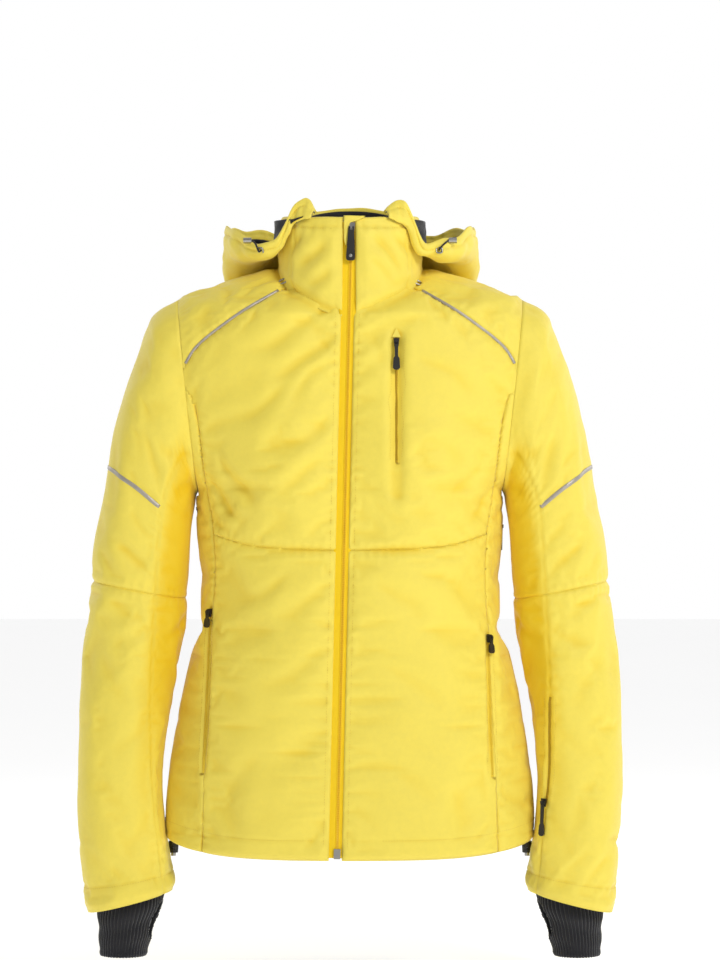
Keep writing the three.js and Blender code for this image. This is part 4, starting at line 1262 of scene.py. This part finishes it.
def build_hood():
    rows, cols = 90, 260
    grid, degrees = hood_grid(cols, rows)
    out = -grid_normals(grid)
    share = np.linspace(0, 1, rows)[:, None]
    across = degrees[None, :] * 1.6
    length = np.linalg.norm(np.diff(grid, axis=0), axis=2).sum(0)
    from_rim = (1 - share) * length
    from_base = share * length
    ends = (HOOD_END - np.abs(degrees))[None, :] * 1.7 + 0 * share
    gather = np.sin(across / 2.3 + 2.0 * np.sin(across / 17)) * (0.6 + 0.4 * np.sin(across / 9 + 1))
    relief = 1.5 * gather * bell(from_rim - 13, 9)
    relief += 0.9 * bell(from_rim - 3, 4) - 1.4 * bell(from_rim - 9, 1.8)
    relief -= 1.6 * np.exp(-from_base / 9)
    seam = np.abs(np.abs(across) - 52 - 8 * share)
    sewn = seam_relief(seam.reshape(-1), (from_base + 0 * seam).reshape(-1), 91, puff=1.6)
    relief += sewn.reshape(seam.shape)
    calm = smooth(from_rim / 18) * smooth(seam / 14) * smooth(ends / 12)
    soft = 2.4 * bumps(grid, 70, 93) + 1.1 * bumps(grid, 34, 95) + 0.4 * bumps(grid, 15, 97)
    relief = relief + soft * (0.25 + 0.75 * calm) + 1.0
    relief = relief * (0.35 + 0.65 * smooth(ends / 40))
    grid = grid + out * relief[..., None]
    rim_wave = 2.2 * np.sin(across / 5.5) + 1.6 * np.sin(across / 12.7 + 1)
    grid[..., 2] += rim_wave * np.exp(-from_rim / 16) * smooth(ends / 10)
    hood = make_mesh("hood_shell_fabric", *wall_of(grid, out, 2.0, turned=True), SHELL)
    # painted shade in the hood's creases
    set_painted_fold_shade(hood, np.tile(valley(relief, 10).reshape(-1), 2))
    stitched = np.argmin(np.abs(from_rim - 9), axis=0)[6:-6], np.arange(6, cols - 6)
    hem_line = grid[stitched], out[stitched]
    keep = rows - 3
    inner = wall_of(grid[:keep] - out[:keep] * 2.5, out[:keep], 0.9, turned=True)
    lining = make_mesh("hood_lining_fabric", *inner, LINING)
    return hood, lining, hem_line


# ---------------------------------------------------------------- wrist gaiters

# Rings of a gaiter, as (x, z, half width, y, half depth).
GAITER = [
    (248, -655, 37, -98, 38), (245, -695, 36, -101, 35), (250, -732, 29, -103, 28), (253, -762, 24, -104, 24)]
gaiter_curves = [curve([(i, s[k]) for i, s in enumerate(GAITER)]) for k in range(5)]
THUMB = (-108, -722, 12, 22)  # the middle (y, z) of the thumb's opening, and its half sizes


def build_gaiter(side, label):
    """A ribbed tube that tapers over the hand, with a bound opening for the thumb."""
    ribs, per_rib, rows = 46, 6, 64
    cols = ribs * per_rib
    station = np.linspace(0, 3, rows)[:, None]
    angle = np.linspace(0, 2 * math.pi, cols, endpoint=False)[None, :]
    x, z, width, y, depth = [c(station) for c in gaiter_curves]
    from_end = (z + 762)
    rib = 0.55 * np.cos(ribs * angle) * smooth(from_end / 3)
    slack = 0.8 * np.sin(z / 4.6 + 1.5 * np.sin(angle * 2)) * smooth((-664 - z) / 10) * smooth(from_end / 20)
    swell = rib + slack + 0.8 * bell(from_end - 2, 3)
    px = x + (width - 0.3 + swell) * np.cos(angle)
    py = y - (depth - 0.3 + swell) * np.sin(angle)
    grid = np.stack([px, py, z + 0 * px], -1)
    flat = grid.reshape(-1, 3)
    ty, tz, ry, rz = THUMB
    inward = flat[:, 0] < x.mean() - 8
    reach = np.hypot((flat[:, 1] - ty) / ry, (flat[:, 2] - tz) / rz)
    near = inward & (reach < 1.0) & (reach > 0.8)
    for k, centre in ((1, ty), (2, tz)):
        flat[near, k] = centre + (flat[near, k] - centre) / reach[near]
    faces = grid_faces(rows, cols, wrap=True)
    middle = flat[faces].mean(1)
    in_thumb = np.hypot((middle[:, 1] - ty) / ry, (middle[:, 2] - tz) / rz) < 0.97
    gone = in_thumb & (middle[:, 0] < x.mean() - 8)
    flat[:, 0] *= side
    faces = faces[~gone]
    normal = grid_normals(flat.reshape(grid.shape), wrap=True).reshape(-1, 3)
    if side < 0:
        faces = faces[:, ::-1]
        normal = -normal
    verts, faces, used = compact(flat, faces[:, ::-1])
    verts, faces = shell(verts, faces, normal[used], 1.6)
    gaiter = make_mesh(f"wrist_gaiter_{label}_knit", verts, faces, KNIT)
    turn = np.linspace(0, 2 * math.pi, 60, endpoint=False)
    edge = np.stack([0 * turn, ty + ry * np.cos(turn), tz + rz * np.sin(turn)], -1)
    level = np.interp(-edge[:, 2], -np.array(GAITER)[:, 1], np.arange(4))
    gx, _, gw, gy, gd = [c(level) for c in gaiter_curves]
    edge[:, 0] = side * (gx - gw * np.sqrt(np.maximum(0, 1 - ((edge[:, 1] - gy) / gd) ** 2)))
    binding = make_mesh(f"thumb_binding_{label}", *tube(edge, 1.7, 8, closed=True, up=(1, 0, 0)), KNIT)
    return gaiter, binding


# ---------------------------------------------------------------- the front zip


def zip_frame():
    """The matrix from the zip's own frame, lateral, inward and up from its top, to the jacket's."""
    top = Vector((ZIP_TOP[0], float(front_line(ZIP_TOP[1])), ZIP_TOP[1]))
    bottom = Vector((ZIP_BOTTOM[0], float(front_line(ZIP_BOTTOM[1])), ZIP_BOTTOM[1]))
    up = (top - bottom).normalized()
    inward = Vector((0, 1, 0))
    inward = (inward - up * inward.dot(up)).normalized()
    lateral = inward.cross(up)
    turn = np.array([lateral, inward, up])
    return turn, np.array(top), (top - bottom).length


def build_zip():
    turn, top, length = zip_frame()

    def placed(local):
        return np.asarray(local) @ turn + top

    made = []
    z = np.linspace(-length + 2, -0.5, 340)
    for side, label, reach in ((1, "left", ZIP_LEFT + 2.4), (-1, "right", ZIP_RIGHT + 2.4)):
        profile = [(0.45, 2.3), (0.45, 0.7), (0.9, 0.15), (1.9, 0.1), (2.4, 0.8), (2.9, 1.05), (3.4, 0.85),
                   (reach - 2, 1.1), (reach, 1.3), (reach, 2.6)]
        rows = [[(side * x, y, h) for x, y in profile] for h in z]
        grid = placed(np.array(rows)).reshape(-1, 3)
        faces = grid_faces(len(z), len(profile), wrap=True)
        if side < 0:
            faces = faces[:, ::-1]
        count = len(profile)
        caps = [list(range(count)), [(len(z) - 1) * count + k for k in range(count)]]
        caps = [caps[0][::-1], caps[1]] if side > 0 else [caps[0], caps[1][::-1]]
        made.append(make_mesh(f"zip_tape_{label}_woven", grid, faces.tolist() + caps, TAPE))
    teeth = []
    bead = np.array([(-1.75, 0.1), (-1.75, -0.35), (-1.1, -0.65), (1.1, -0.65), (1.75, -0.35), (1.75, 0.1)])
    pitch = 1.9
    for k in range(int((length - 22) / pitch)):
        h = -20 - k * pitch
        ends = []
        for dz in (-0.62, 0.62):
            drop = 0.5 * np.abs(bead[:, 0]) / 1.75
            ends.append(np.stack([bead[:, 0], bead[:, 1] + 0.45, h + dz - drop], -1))
        verts = placed(np.concatenate(ends))
        faces = [[a, (a + 1) % 6, (a + 1) % 6 + 6, a + 6] for a in range(6)]
        faces += [[5, 4, 3, 2, 1, 0], list(range(6, 12))]
        teeth.append((verts, faces))
    verts, faces = join(teeth)
    made.append(make_mesh("zip_coil_teeth", verts, faces, GOLD_COIL, flat=True))
    return made


# ---------------------------------------------------------------- trims that lie on the fabric

TOOTH_PITCH = 1.5
WIRE = 1.0


def surface_tree(objects):
    """A search tree over the outer faces of some objects, in millimetres."""
    verts, faces, start = [], [], 0
    for obj in objects:
        mesh = obj.data
        co = np.zeros(len(mesh.vertices) * 3)
        mesh.vertices.foreach_get("co", co)
        verts.append(co.reshape(-1, 3) / MM)
        for p in mesh.polygons:
            faces.append([v + start for v in p.vertices])
        start += len(mesh.vertices)
    return BVHTree.FromPolygons(np.concatenate(verts).tolist(), faces)


def on_surface(tree, points, towards, lift=0.0):
    """Each point moved along a direction onto the fabric, with the fabric's outward direction there."""
    found, normals = [], []
    for p, ray in zip(points, np.broadcast_to(towards, (len(points), 3))):
        start = Vector(p) - Vector(ray) * 30
        hit, normal, _, _ = tree.ray_cast(start, Vector(ray), 70)
        if hit is None:
            hit, normal, _, _ = tree.find_nearest(Vector(p))
        if normal.dot(Vector(ray)) > 0:
            normal = -normal
        found.append(hit + normal * lift)
        normals.append(normal)
    return np.array(found), np.array(normals)


def ribbon(path, normals, width, thick):
    """A flat tape along a path, lying square to the normals."""
    heading = unit(np.gradient(path, axis=0))
    side = unit(np.cross(heading, normals))
    corners = [path + side * a * width / 2 + normals * b * thick for a, b in (
        (-1, -0.6), (-1, 0.3), (-0.7, 1), (0.7, 1), (1, 0.3), (1, -0.6))]
    grid = np.stack(corners, 1)
    rows, cols, _ = grid.shape
    faces = grid_faces(rows, cols, wrap=True)[:, ::-1].tolist()
    return grid.reshape(-1, 3), faces + end_caps(rows, cols)


def at_run(run, values, place):
    """The value at one place along a path."""
    return np.array([np.interp(place, run, values[:, k]) for k in range(3)])


def stitches(path, normals):
    """A row of sewn stitches along a path on the fabric."""
    pitch, size, radius = 3.0, 1.9, 0.28
    run = distance_along(path)
    parts = []
    for place in np.arange(pitch, run[-1] - pitch, pitch):
        ends = [at_run(run, path, place + t) for t in (-size / 2, 0, size / 2)]
        n = at_run(run, normals, place)
        n = n / np.linalg.norm(n)
        line = np.array([ends[0] - n * 0.12, ends[1] + n * 0.18, ends[2] - n * 0.12])
        parts.append(tube(line, np.array([0.6, 1, 0.6]) * radius, 5, up=tuple(n)))
    return join(parts)


def zipper_strip(name, path, normals, material, width=3.4):
    """A closed zip in its slot: a woven tape with a row of interlocking teeth down its middle."""
    run = distance_along(path)
    heading = unit(np.gradient(path, axis=0))
    side = unit(np.cross(heading, normals))
    parts = [ribbon(path, normals, width, 0.5)]
    for number, place in enumerate(np.arange(2, run[-1] - 2, TOOTH_PITCH)):
        p, n, a = (at_run(run, values, place) for values in (path, normals, side))
        lean = 0.25 if number % 2 else -0.25
        tooth = [p + n * 0.5 + a * (lean - 0.95), p + n * 0.85, p + n * 0.5 + a * (lean + 0.95)]
        parts.append(tube(np.array(tooth), 0.42, 6, up=tuple(n)))
    return make_mesh(name, *join(parts), material)


def beside(path, normals, gap):
    """The line that runs at that distance beside a path on the fabric."""
    return path + unit(np.cross(unit(np.gradient(path, axis=0)), normals)) * gap


def bar_tack(p, heading, n):
    """A dense zigzag of thread, as long as its pocket's end is wide."""
    across = np.cross(heading, n)
    count = 19
    steps = np.linspace(-4, 4, count)[:, None]
    swing = np.where(np.arange(count) % 2, 1.1, -1.1)[:, None]
    return tube(p + n * 0.35 + across * steps + heading * swing, 0.34, 5, up=tuple(n))


def wire_ring(centre, wide, high, n, heading):
    """A rounded rectangle of wire lying square to a normal."""
    turn = np.linspace(0, 2 * math.pi, 32, endpoint=False)
    across = unit(np.cross(heading, n))
    heading = unit(np.cross(n, across))
    path = (centre + across * spow(np.cos(turn), 0.6)[:, None] * wide / 2
            + heading * spow(np.sin(turn), 0.6)[:, None] * high / 2)
    return tube(path, WIRE, 8, closed=True, up=tuple(n))


def smoothed(path, normals, times):
    path, normals = path.copy(), normals.copy()
    for _ in range(times):
        path[1:-1] = (path[:-2] + 2 * path[1:-1] + path[2:]) / 4
        normals[1:-1] = unit(normals[:-2] + 2 * normals[1:-1] + normals[2:])
    return path, normals


def laid(tree, points, towards, times=4):
    """A line laid on the fabric and smoothed a few times, with its normals."""
    return smoothed(*on_surface(tree, points, towards), times)


def towards_centre(points):
    """The level direction from each point to the body's middle line."""
    return unit((np.array([0, CENTRE_Y, 0]) - points) * (1, 1, 0))


def pocket_on_fabric(tree, ends):
    towards = (0, 1, 0) if isinstance(ends[0], tuple) else (-math.copysign(1, ends[0]), 0, 0)
    return laid(tree, pocket_path(ends), towards, 6)


def sleeve_pocket_on_fabric(tree):
    return laid(tree, sleeve_pocket_path(), unit(np.array([0.55, 1.0, 0.0])), 6)


# ---------------------------------------------------------------- inside the jacket


def inside_wall(name, low, high, inset, rows, relief, zip_gap=16):
    """A layer of cloth inside the body, between two heights, open behind the zip."""
    height = np.linspace(0, 1, rows)[:, None]
    z = lerp(low, high, height)
    first = math.asin(spow(zip_gap / 170, POWER / 2))
    angle = np.linspace(first, 2 * math.pi - first, 260)[None, :]
    depth = inset(z) if callable(inset) else inset
    grid = body_point(angle + 0 * z, z + 0 * angle, depth)
    lowered = 0.7 * np.minimum(depth, 10) * smooth((z + 150) / 105)
    grid[..., 2] -= lowered
    out = grid_normals(grid)
    grid = grid + out * relief(grid, angle + 0 * z, height + 0 * angle)[..., None]
    faces = grid_faces(rows, 260)
    centre = grid.reshape(-1, 3)[faces].mean(1)
    if high > -250:
        outside = (np.abs(centre[:, 0]) > armhole_x(centre[:, 2]) - 7) & (centre[:, 2] > -254)
        faces = faces[~outside]
    verts, faces, used = compact(grid.reshape(-1, 3), faces)
    return make_mesh(name, *shell(verts, faces, -out.reshape(-1, 3)[used], 1.0), LINING)


def quilting(grid, angle, height):
    """Diamond quilting of a padded lining."""
    x, z = np.degrees(angle) * 2.4, grid[..., 2]
    lines = np.minimum(np.abs(((x + z) / 46) % 1 - 0.5), np.abs(((x - z) / 46) % 1 - 0.5)) * 46
    return -1.1 * bell(lines, 3.0) + 0.25 * bumps(grid, 30, 7) - 0.2


def gathers(grid, angle, height):
    """Gathers that fall from a seam, with an elastic band along the lower edge."""
    turn = np.degrees(angle)
    ruffle = np.sin(turn * 0.9 + 1.4 * np.sin(turn * 0.21)) * 2.4 + np.sin(turn * 2.3) * 0.8
    free = smooth((1 - height) / 0.3) * (0.55 + 0.45 * smooth(height / 0.25))
    return ruffle * free - 1.2 * bell(height - 0.14, 0.02)


def build_hanger_loop():
    """A loop of webbing: up from the neck seam, across and down again."""
    corner = np.radians(np.linspace(180, 90, 8))
    left = np.stack([-24.5 + 3.6 * np.cos(corner), 0 * corner, -2.6 + 3.6 * np.sin(corner)], -1)
    bridge = np.stack([np.linspace(-24.5, 24.5, 24)[1:-1], np.zeros(22), np.full(22, 1.0)], -1)
    right = left[::-1] * (-1, 1, 1)
    leg = np.stack([np.full(5, -28.1), np.zeros(5), np.linspace(-12, -3.5, 5)], -1)
    path = np.concatenate([leg, left, bridge, right, leg[::-1] * (-1, 1, 1)])
    away = path - np.array([0, 0, -12.0])
    heading = unit(np.gradient(path, axis=0))
    normals = unit(np.cross(heading, np.array([0, 1.0, 0])))
    normals = normals * np.sign((normals * away).sum(1, keepdims=True))
    return make_mesh("hanger_loop_webbing", *ribbon(path, normals, 6.0, 0.9), WEBBING)


def build_wind_flap():
    turn, top, length = zip_frame()
    z = np.linspace(-length + 40, -8, 160)[:, None]
    x = np.linspace(-12, 8, 16)[None, :]
    edge = np.minimum(x + 12, 8 - x)
    y = 11.6 + 0.35 * bell(edge - 3, 0.9) + 0.25 * np.sin(z / 31 + 0.6 * np.sin(z / 7))
    grid = np.stack([x + 0 * z, y + 0 * z, z + 0 * x], -1) @ turn + top
    return make_mesh("wind_flap_fabric", *wall_of(grid, grid_normals(grid), 1.3), SHELL)


def build_zip_garage():
    """The folded cover over the top of the zip: a pleat that narrows down beside the slider."""
    turn, top, _ = zip_frame()
    left = curve([(0, -8.6), (12, -8.4), (24, -8.2), (33, -5.8)])
    right = curve([(0, 15.5), (5, 7.5), (8.5, -1.6), (18, -2.0), (26, -3.6), (33, -5.0)])
    down = np.linspace(0, 33, 34)[:, None]
    across = np.linspace(0, 1, 9)[None, :]
    x = lerp(left(down), right(down), across)
    crown = 0.9 * np.sin(math.pi * across) ** 0.5 + 0.3 * np.sin(across * 7 + down / 4)
    grid = np.stack([x, -2.5 - crown + 0 * x, 6.0 - down + 0 * x], -1) @ turn + top
    out = grid_normals(grid)
    turned = out[..., 1].mean() > 0
    wall = wall_of(grid, -out if turned else out, 0.7, turned=turned)
    return make_mesh("chin_guard_pleat", *wall, SHELL)


# ---------------------------------------------------------------- assembly


def stitch_row(name, body, rows):
    """One mesh of sewn stitches along several lines, each with its normals."""
    thread = make_mesh(name, *join([stitches(path, normals) for path, normals in rows]), THREAD)
    return settle(thread, body, "shell")


def settle(obj, body, slot, *nodes):
    """Gives a piece the body it rides, and takes out the CAD nodes that it stands for; its slot is not used.
    """
    if nodes:
        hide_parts(*nodes)
    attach(obj, body)
    return obj


def sleeve_blend(obj, part):
    """Bakes a sleeve's placement into its mesh, the same way for the upper and the lower part."""
    if part == "upper":
        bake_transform(obj)
    else:
        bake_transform(obj)


panels = {}
for piece, (verts, faces, fold) in panel_objects(*build_torso()).items():
    panel = cut_armholes(piece + "_padded", verts, faces, fold)
    settle(panel, "body_shell", "shell", piece)
    panels[piece] = panel

sleeves = {}
for side, label in SIDES:
    for part in ("upper", "lower"):
        grid, out, fold = build_sleeve(part, side, label)
        sleeve = sleeve_object(f"{part}_sleeve_{label}_padded", grid, out, fold)
        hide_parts(f"{part}_sleeve_{label}")
        sleeve_blend(sleeve, part)
        sleeves[part, label] = sleeve
    gaiter, binding = build_gaiter(side, label)
    settle(gaiter, f"lower_sleeve_{label}", "stretch_knit", f"wrist_gaiter_{label}")
    settle(binding, f"lower_sleeve_{label}", "stretch_knit")

collar = settle(build_collar(), "body_shell", "shell", "collar_shell")
collar_lining = settle(build_collar_lining(), "body_shell", "lining", "collar_lining")
hood, hood_lining, hood_hem = build_hood()
settle(hood, "hood", "shell", "hood_shell")
settle(hood_lining, "hood", "lining", "hood_lining")
for tape, slot in zip(build_zip(), ("zip_tape", "zip_tape", "zip_coil")):
    settle(tape, "body_shell", slot, tape.name.rsplit("_", 1)[0])

front_tree = surface_tree([panels[n] for n in panels if not n.startswith("back")])
for side, label in SIDES:
    line = rounded(PIPING[1:-1], 3.0)
    points = np.stack([side * line[:, 0], front_y(line[:, 0], line[:, 1]), line[:, 1]], -1)
    path, normals = laid(front_tree, points, (0, 1, 0))
    tape = ribbon(path + normals * 0.5, normals, 3.2, 0.9)
    strip = make_mesh(f"reflective_piping_{label}_tape", *tape, REFLECTIVE)
    settle(strip, "body_shell", "reflective", f"reflective_piping_{label}")
    arm_tree = surface_tree([sleeves["upper", label]])
    degrees = np.radians(np.linspace(-100, 102, 90))
    station = 4.2 + 0.12 * np.cos(degrees)
    points = sleeve_point(station, degrees)
    points[:, 0] = side * (points[:, 0] + 1.4)
    middle = np.stack([side * (sleeve_curves[0](station) + sleeve_curves[2](station)) / 2,
                       sleeve_curves[4](station), points[:, 2]], -1)
    path, normals = laid(arm_tree, points, unit(middle - points))
    band = make_mesh(f"arm_band_{label}_tape", *ribbon(path + normals * 0.3, normals, 4.6, 0.6), REFLECTIVE)
    settle(band, f"upper_sleeve_{label}", "reflective", f"arm_band_{label}")

for label, (ends, _, _) in POCKET_LINES.items():
    path, normals = pocket_on_fabric(front_tree, ends)
    material = CHEST_TAPE if label == "chest" else POCKET_TAPE
    strip = zipper_strip(f"{label}_zip_strip", path - normals * 0.1, normals, material)
    settle(strip, "body_shell", "zip_tape", f"{label}_zip")
arm_tree = surface_tree([sleeves["lower", "left"]])
path, normals = sleeve_pocket_on_fabric(arm_tree)
strip = zipper_strip("sleeve_zip_strip", path, normals, CHEST_TAPE, 4.2)
settle(strip, "lower_sleeve_left", "zip_tape", "sleeve_zip")

lining = inside_wall("body_lining_quilted", -560, -58, 8.8, 200, quilting)
settle(lining, "body_shell", "lining", "body_lining")
skirt_inset = curve([(-605, 27), (-560, 20), (-490, 12)])
skirt = inside_wall("powder_skirt_gathered", -605, -490, skirt_inset, 60, gathers, zip_gap=24)
settle(skirt, "body_shell", "lining", "powder_skirt")
settle(build_hanger_loop(), "body_shell", "webbing", "hanger_loop")
flap = settle(build_wind_flap(), "body_shell", "shell", "wind_flap")
settle(build_zip_garage(), "body_shell", "shell", "chin_guard")

# ---------------------------------------------------------------- sewing and small fittings

body_tree = surface_tree(list(panels.values()))
rows = []
down = np.linspace(-48, -636, 220)
for gap in (ZIP_LEFT + 6, -ZIP_RIGHT - 6):
    x = zip_x(down) + gap
    rows.append(laid(body_tree, np.stack([x, front_y(x, down), down], -1), (0, 1, 0), 2))
turn = np.radians(np.linspace(7, 352, 500))
hem_row = body_point(turn, hem_at(turn) + 22)
rows.append(laid(body_tree, hem_row, towards_centre(hem_row), 2))
for ends, _, _ in POCKET_LINES.values():
    path, normals = pocket_on_fabric(front_tree, ends)
    rows += [laid(front_tree, beside(path, normals, gap), -normals, 2) for gap in (-6.5, 6.5)]
stitch_row("body_stitching", "body_shell", rows)
turn = collar_angles(220)[4:-4]
top_row = collar_point(turn, collar_top(turn) - 13)
top_row, normals = laid(surface_tree([collar]), top_row, towards_centre(top_row), 2)
stitch_row("collar_stitching", "body_shell", [(top_row, normals)])
stitch_row("hood_stitching", "hood", [smoothed(*hood_hem, 3)])

for side, label in SIDES:
    tree = surface_tree([sleeves["lower", label]])
    turn = np.radians(np.linspace(0, 360, 160))
    ring = sleeve_point(np.full(160, 11.64), turn, side=side)
    middle = ring.mean(0)
    rows = [on_surface(tree, ring, unit(middle - ring))]
    if side > 0:
        path, normals = sleeve_pocket_on_fabric(tree)
        rows += [on_surface(tree, beside(path, normals, gap), -normals) for gap in (-7.5, 7.5)]
    stitch_row(f"cuff_stitching_{label}", f"lower_sleeve_{label}", rows)

tacks = []
for label in ("chest", "hand_left", "hand_right"):
    path, normals = on_surface(front_tree, pocket_path(POCKET_LINES[label][0]), (0, 1, 0))
    tacks.append(bar_tack(path[-1] + unit(path[-1] - path[-2]) * 1.5, unit(path[-1] - path[-5]), normals[-4]))
settle(make_mesh("pocket_bar_tacks", *join(tacks), THREAD), "body_shell", "shell")

for side, label in SIDES:
    spot = np.array([[side * 73.5, 0, -5.0]])
    spot[0, 1] = front_y(73.5, -20.0)
    p, n = on_surface(front_tree, spot, (0, 0.8, -0.6), lift=2.6)
    ring = wire_ring(p[0], 10, 6, n[0], np.array([0.35 * side, 0, 1.0]))
    settle(make_mesh(f"collar_ring_{label}", *ring, METAL), "body_shell", "metal")

hood_tree = surface_tree([hood])
for side, label in SIDES:
    p, n = on_surface(hood_tree, np.array([[side * 99.0, -118.0, 22.0]]), (0, 1, 0), lift=0.5)
    rim = wire_ring(p[0], 6.4, 6.4, n[0], np.array([0, 0, 1.0]))
    settle(make_mesh(f"hood_eyelet_{label}", *rim, METAL), "hood", "metal")
    lock = bpy.data.objects[f"hood_cord_lock_{label}"]
    corners = np.array([lock.matrix_world @ Vector(c) for c in lock.bound_box]) / MM
    end = corners.mean(0) - (side * 4.8, 0, 0)
    lead = rounded([p[0] - n[0], p[0] + n[0] * 3, lerp(p[0], end, 0.6) + (0, -3.5, 1), end], 1.2)
    settle(make_mesh(f"hood_elastic_{label}", *tube(lead, 1.1, 8), DARK_CORD), "hood", "webbing")

turn, top, _ = zip_frame()
leaf = bpy.data.objects["main_pull"]
local = (np.array([leaf.matrix_world @ v.co for v in leaf.data.vertices]) / MM - top) @ turn.T
low, high = local.min(0), local.max(0)
spot = np.array([(low[0] + high[0]) / 2, low[1] + 0.2, low[2] + 5.5])
rivet = np.stack([spot, spot + (0, -0.5, 0), spot + (0, -0.8, 0)]) @ turn + top
settle(make_mesh("main_pull_rivet", *tube(rivet, np.array([2.0, 1.9, 1.3]), 16), METAL), "main_pull", "metal")

KEPT = {"metal": METAL, "moulded": PLASTIC, "shell": SHELL, "webbing": WEBBING, "zip_tape": TAPE}
for part in frame["record"]["subparts"]:
    node = bpy.data.objects.get(part["node"])
    if node is not None and part["material_slot"] in KEPT:
        for slot in node.material_slots:
            slot.material = KEPT[part["material_slot"]]


# ---------------------------------------------------------------- light, floor and camera

FLOOR_Z = -790
LOOKED_AT = Vector((0, -0.07, -0.3))
LAMP_SIZE = 0.8
LAMPS = (("key", (1.4, -2.15, 1.3), 37), ("rim_left", (-1.3, 1.0, 0.5), 4), ("rim_right", (1.4, 0.9, 0.4), 4))
CAMERA_PLACE = (0.011, -3.62, -0.233)
SENSOR_HEIGHT = 24
LENS = SENSOR_HEIGHT * 3.5 / 1.066  # 1.066 m fills the picture's height at 3.5 m


def build_world():
    """Pale light from all round, weaker from in front so that the fabric keeps its shape."""
    world = bpy.data.worlds.new("studio")
    bpy.context.scene.world = world
    world.use_nodes = True
    tree = world.node_tree
    direction = tree.nodes.new("ShaderNodeTexCoord")
    split = tree.nodes.new("ShaderNodeSeparateXYZ")
    glow = tree.nodes.new("ShaderNodeMapRange")
    for key, value in (("From Min", -0.3), ("From Max", 0.95), ("To Min", 0.3), ("To Max", 1.0)):
        glow.inputs[key].default_value = value
    tree.links.new(direction.outputs["Generated"], split.inputs[0])
    tree.links.new(split.outputs["Y"], glow.inputs["Value"])
    tree.links.new(glow.outputs["Result"], tree.nodes["Background"].inputs["Strength"])
    tree.nodes["Background"].inputs["Color"].default_value = (1.0, 1.0, 1.0, 1)


def build_floor():
    corners = [(x * 9000, y * 9000, FLOOR_Z) for x, y in ((-1, -1), (1, -1), (1, 1), (-1, 1))]
    paper = Nodes("pale_floor", Roughness=0.9, Emission_Color=(1, 1, 1, 1), Emission_Strength=0.42)
    paper.link(paper.ramp(paper.noise(2, 3), (0.93, 0.93, 0.93, 1), (0.96, 0.96, 0.96, 1)), "Base Color")
    floor = make_mesh("floor", corners, [[0, 1, 2, 3]], paper.material)


def build_lamps():
    for name, place, power in LAMPS:
        light = bpy.data.lights.new(name, "AREA")
        light.energy = power
        light.size = LAMP_SIZE
        lamp = bpy.data.objects.new(name, light)
        lamp.location = place
        lamp.rotation_euler = (LOOKED_AT - Vector(place)).to_track_quat("-Z", "Y").to_euler()
        bpy.context.scene.collection.objects.link(lamp)


def build_camera():
    lens = bpy.data.cameras.new("camera")
    lens.sensor_fit = "VERTICAL"
    lens.sensor_height = SENSOR_HEIGHT
    lens.lens = LENS
    camera = bpy.data.objects.new("camera", lens)
    camera.location = CAMERA_PLACE
    camera.rotation_euler = (math.pi / 2, 0, 0)
    bpy.context.scene.collection.objects.link(camera)
    bpy.context.scene.camera = camera


bpy.context.scene.view_settings.view_transform = "Standard"
build_world()
build_floor()
build_lamps()
build_camera()
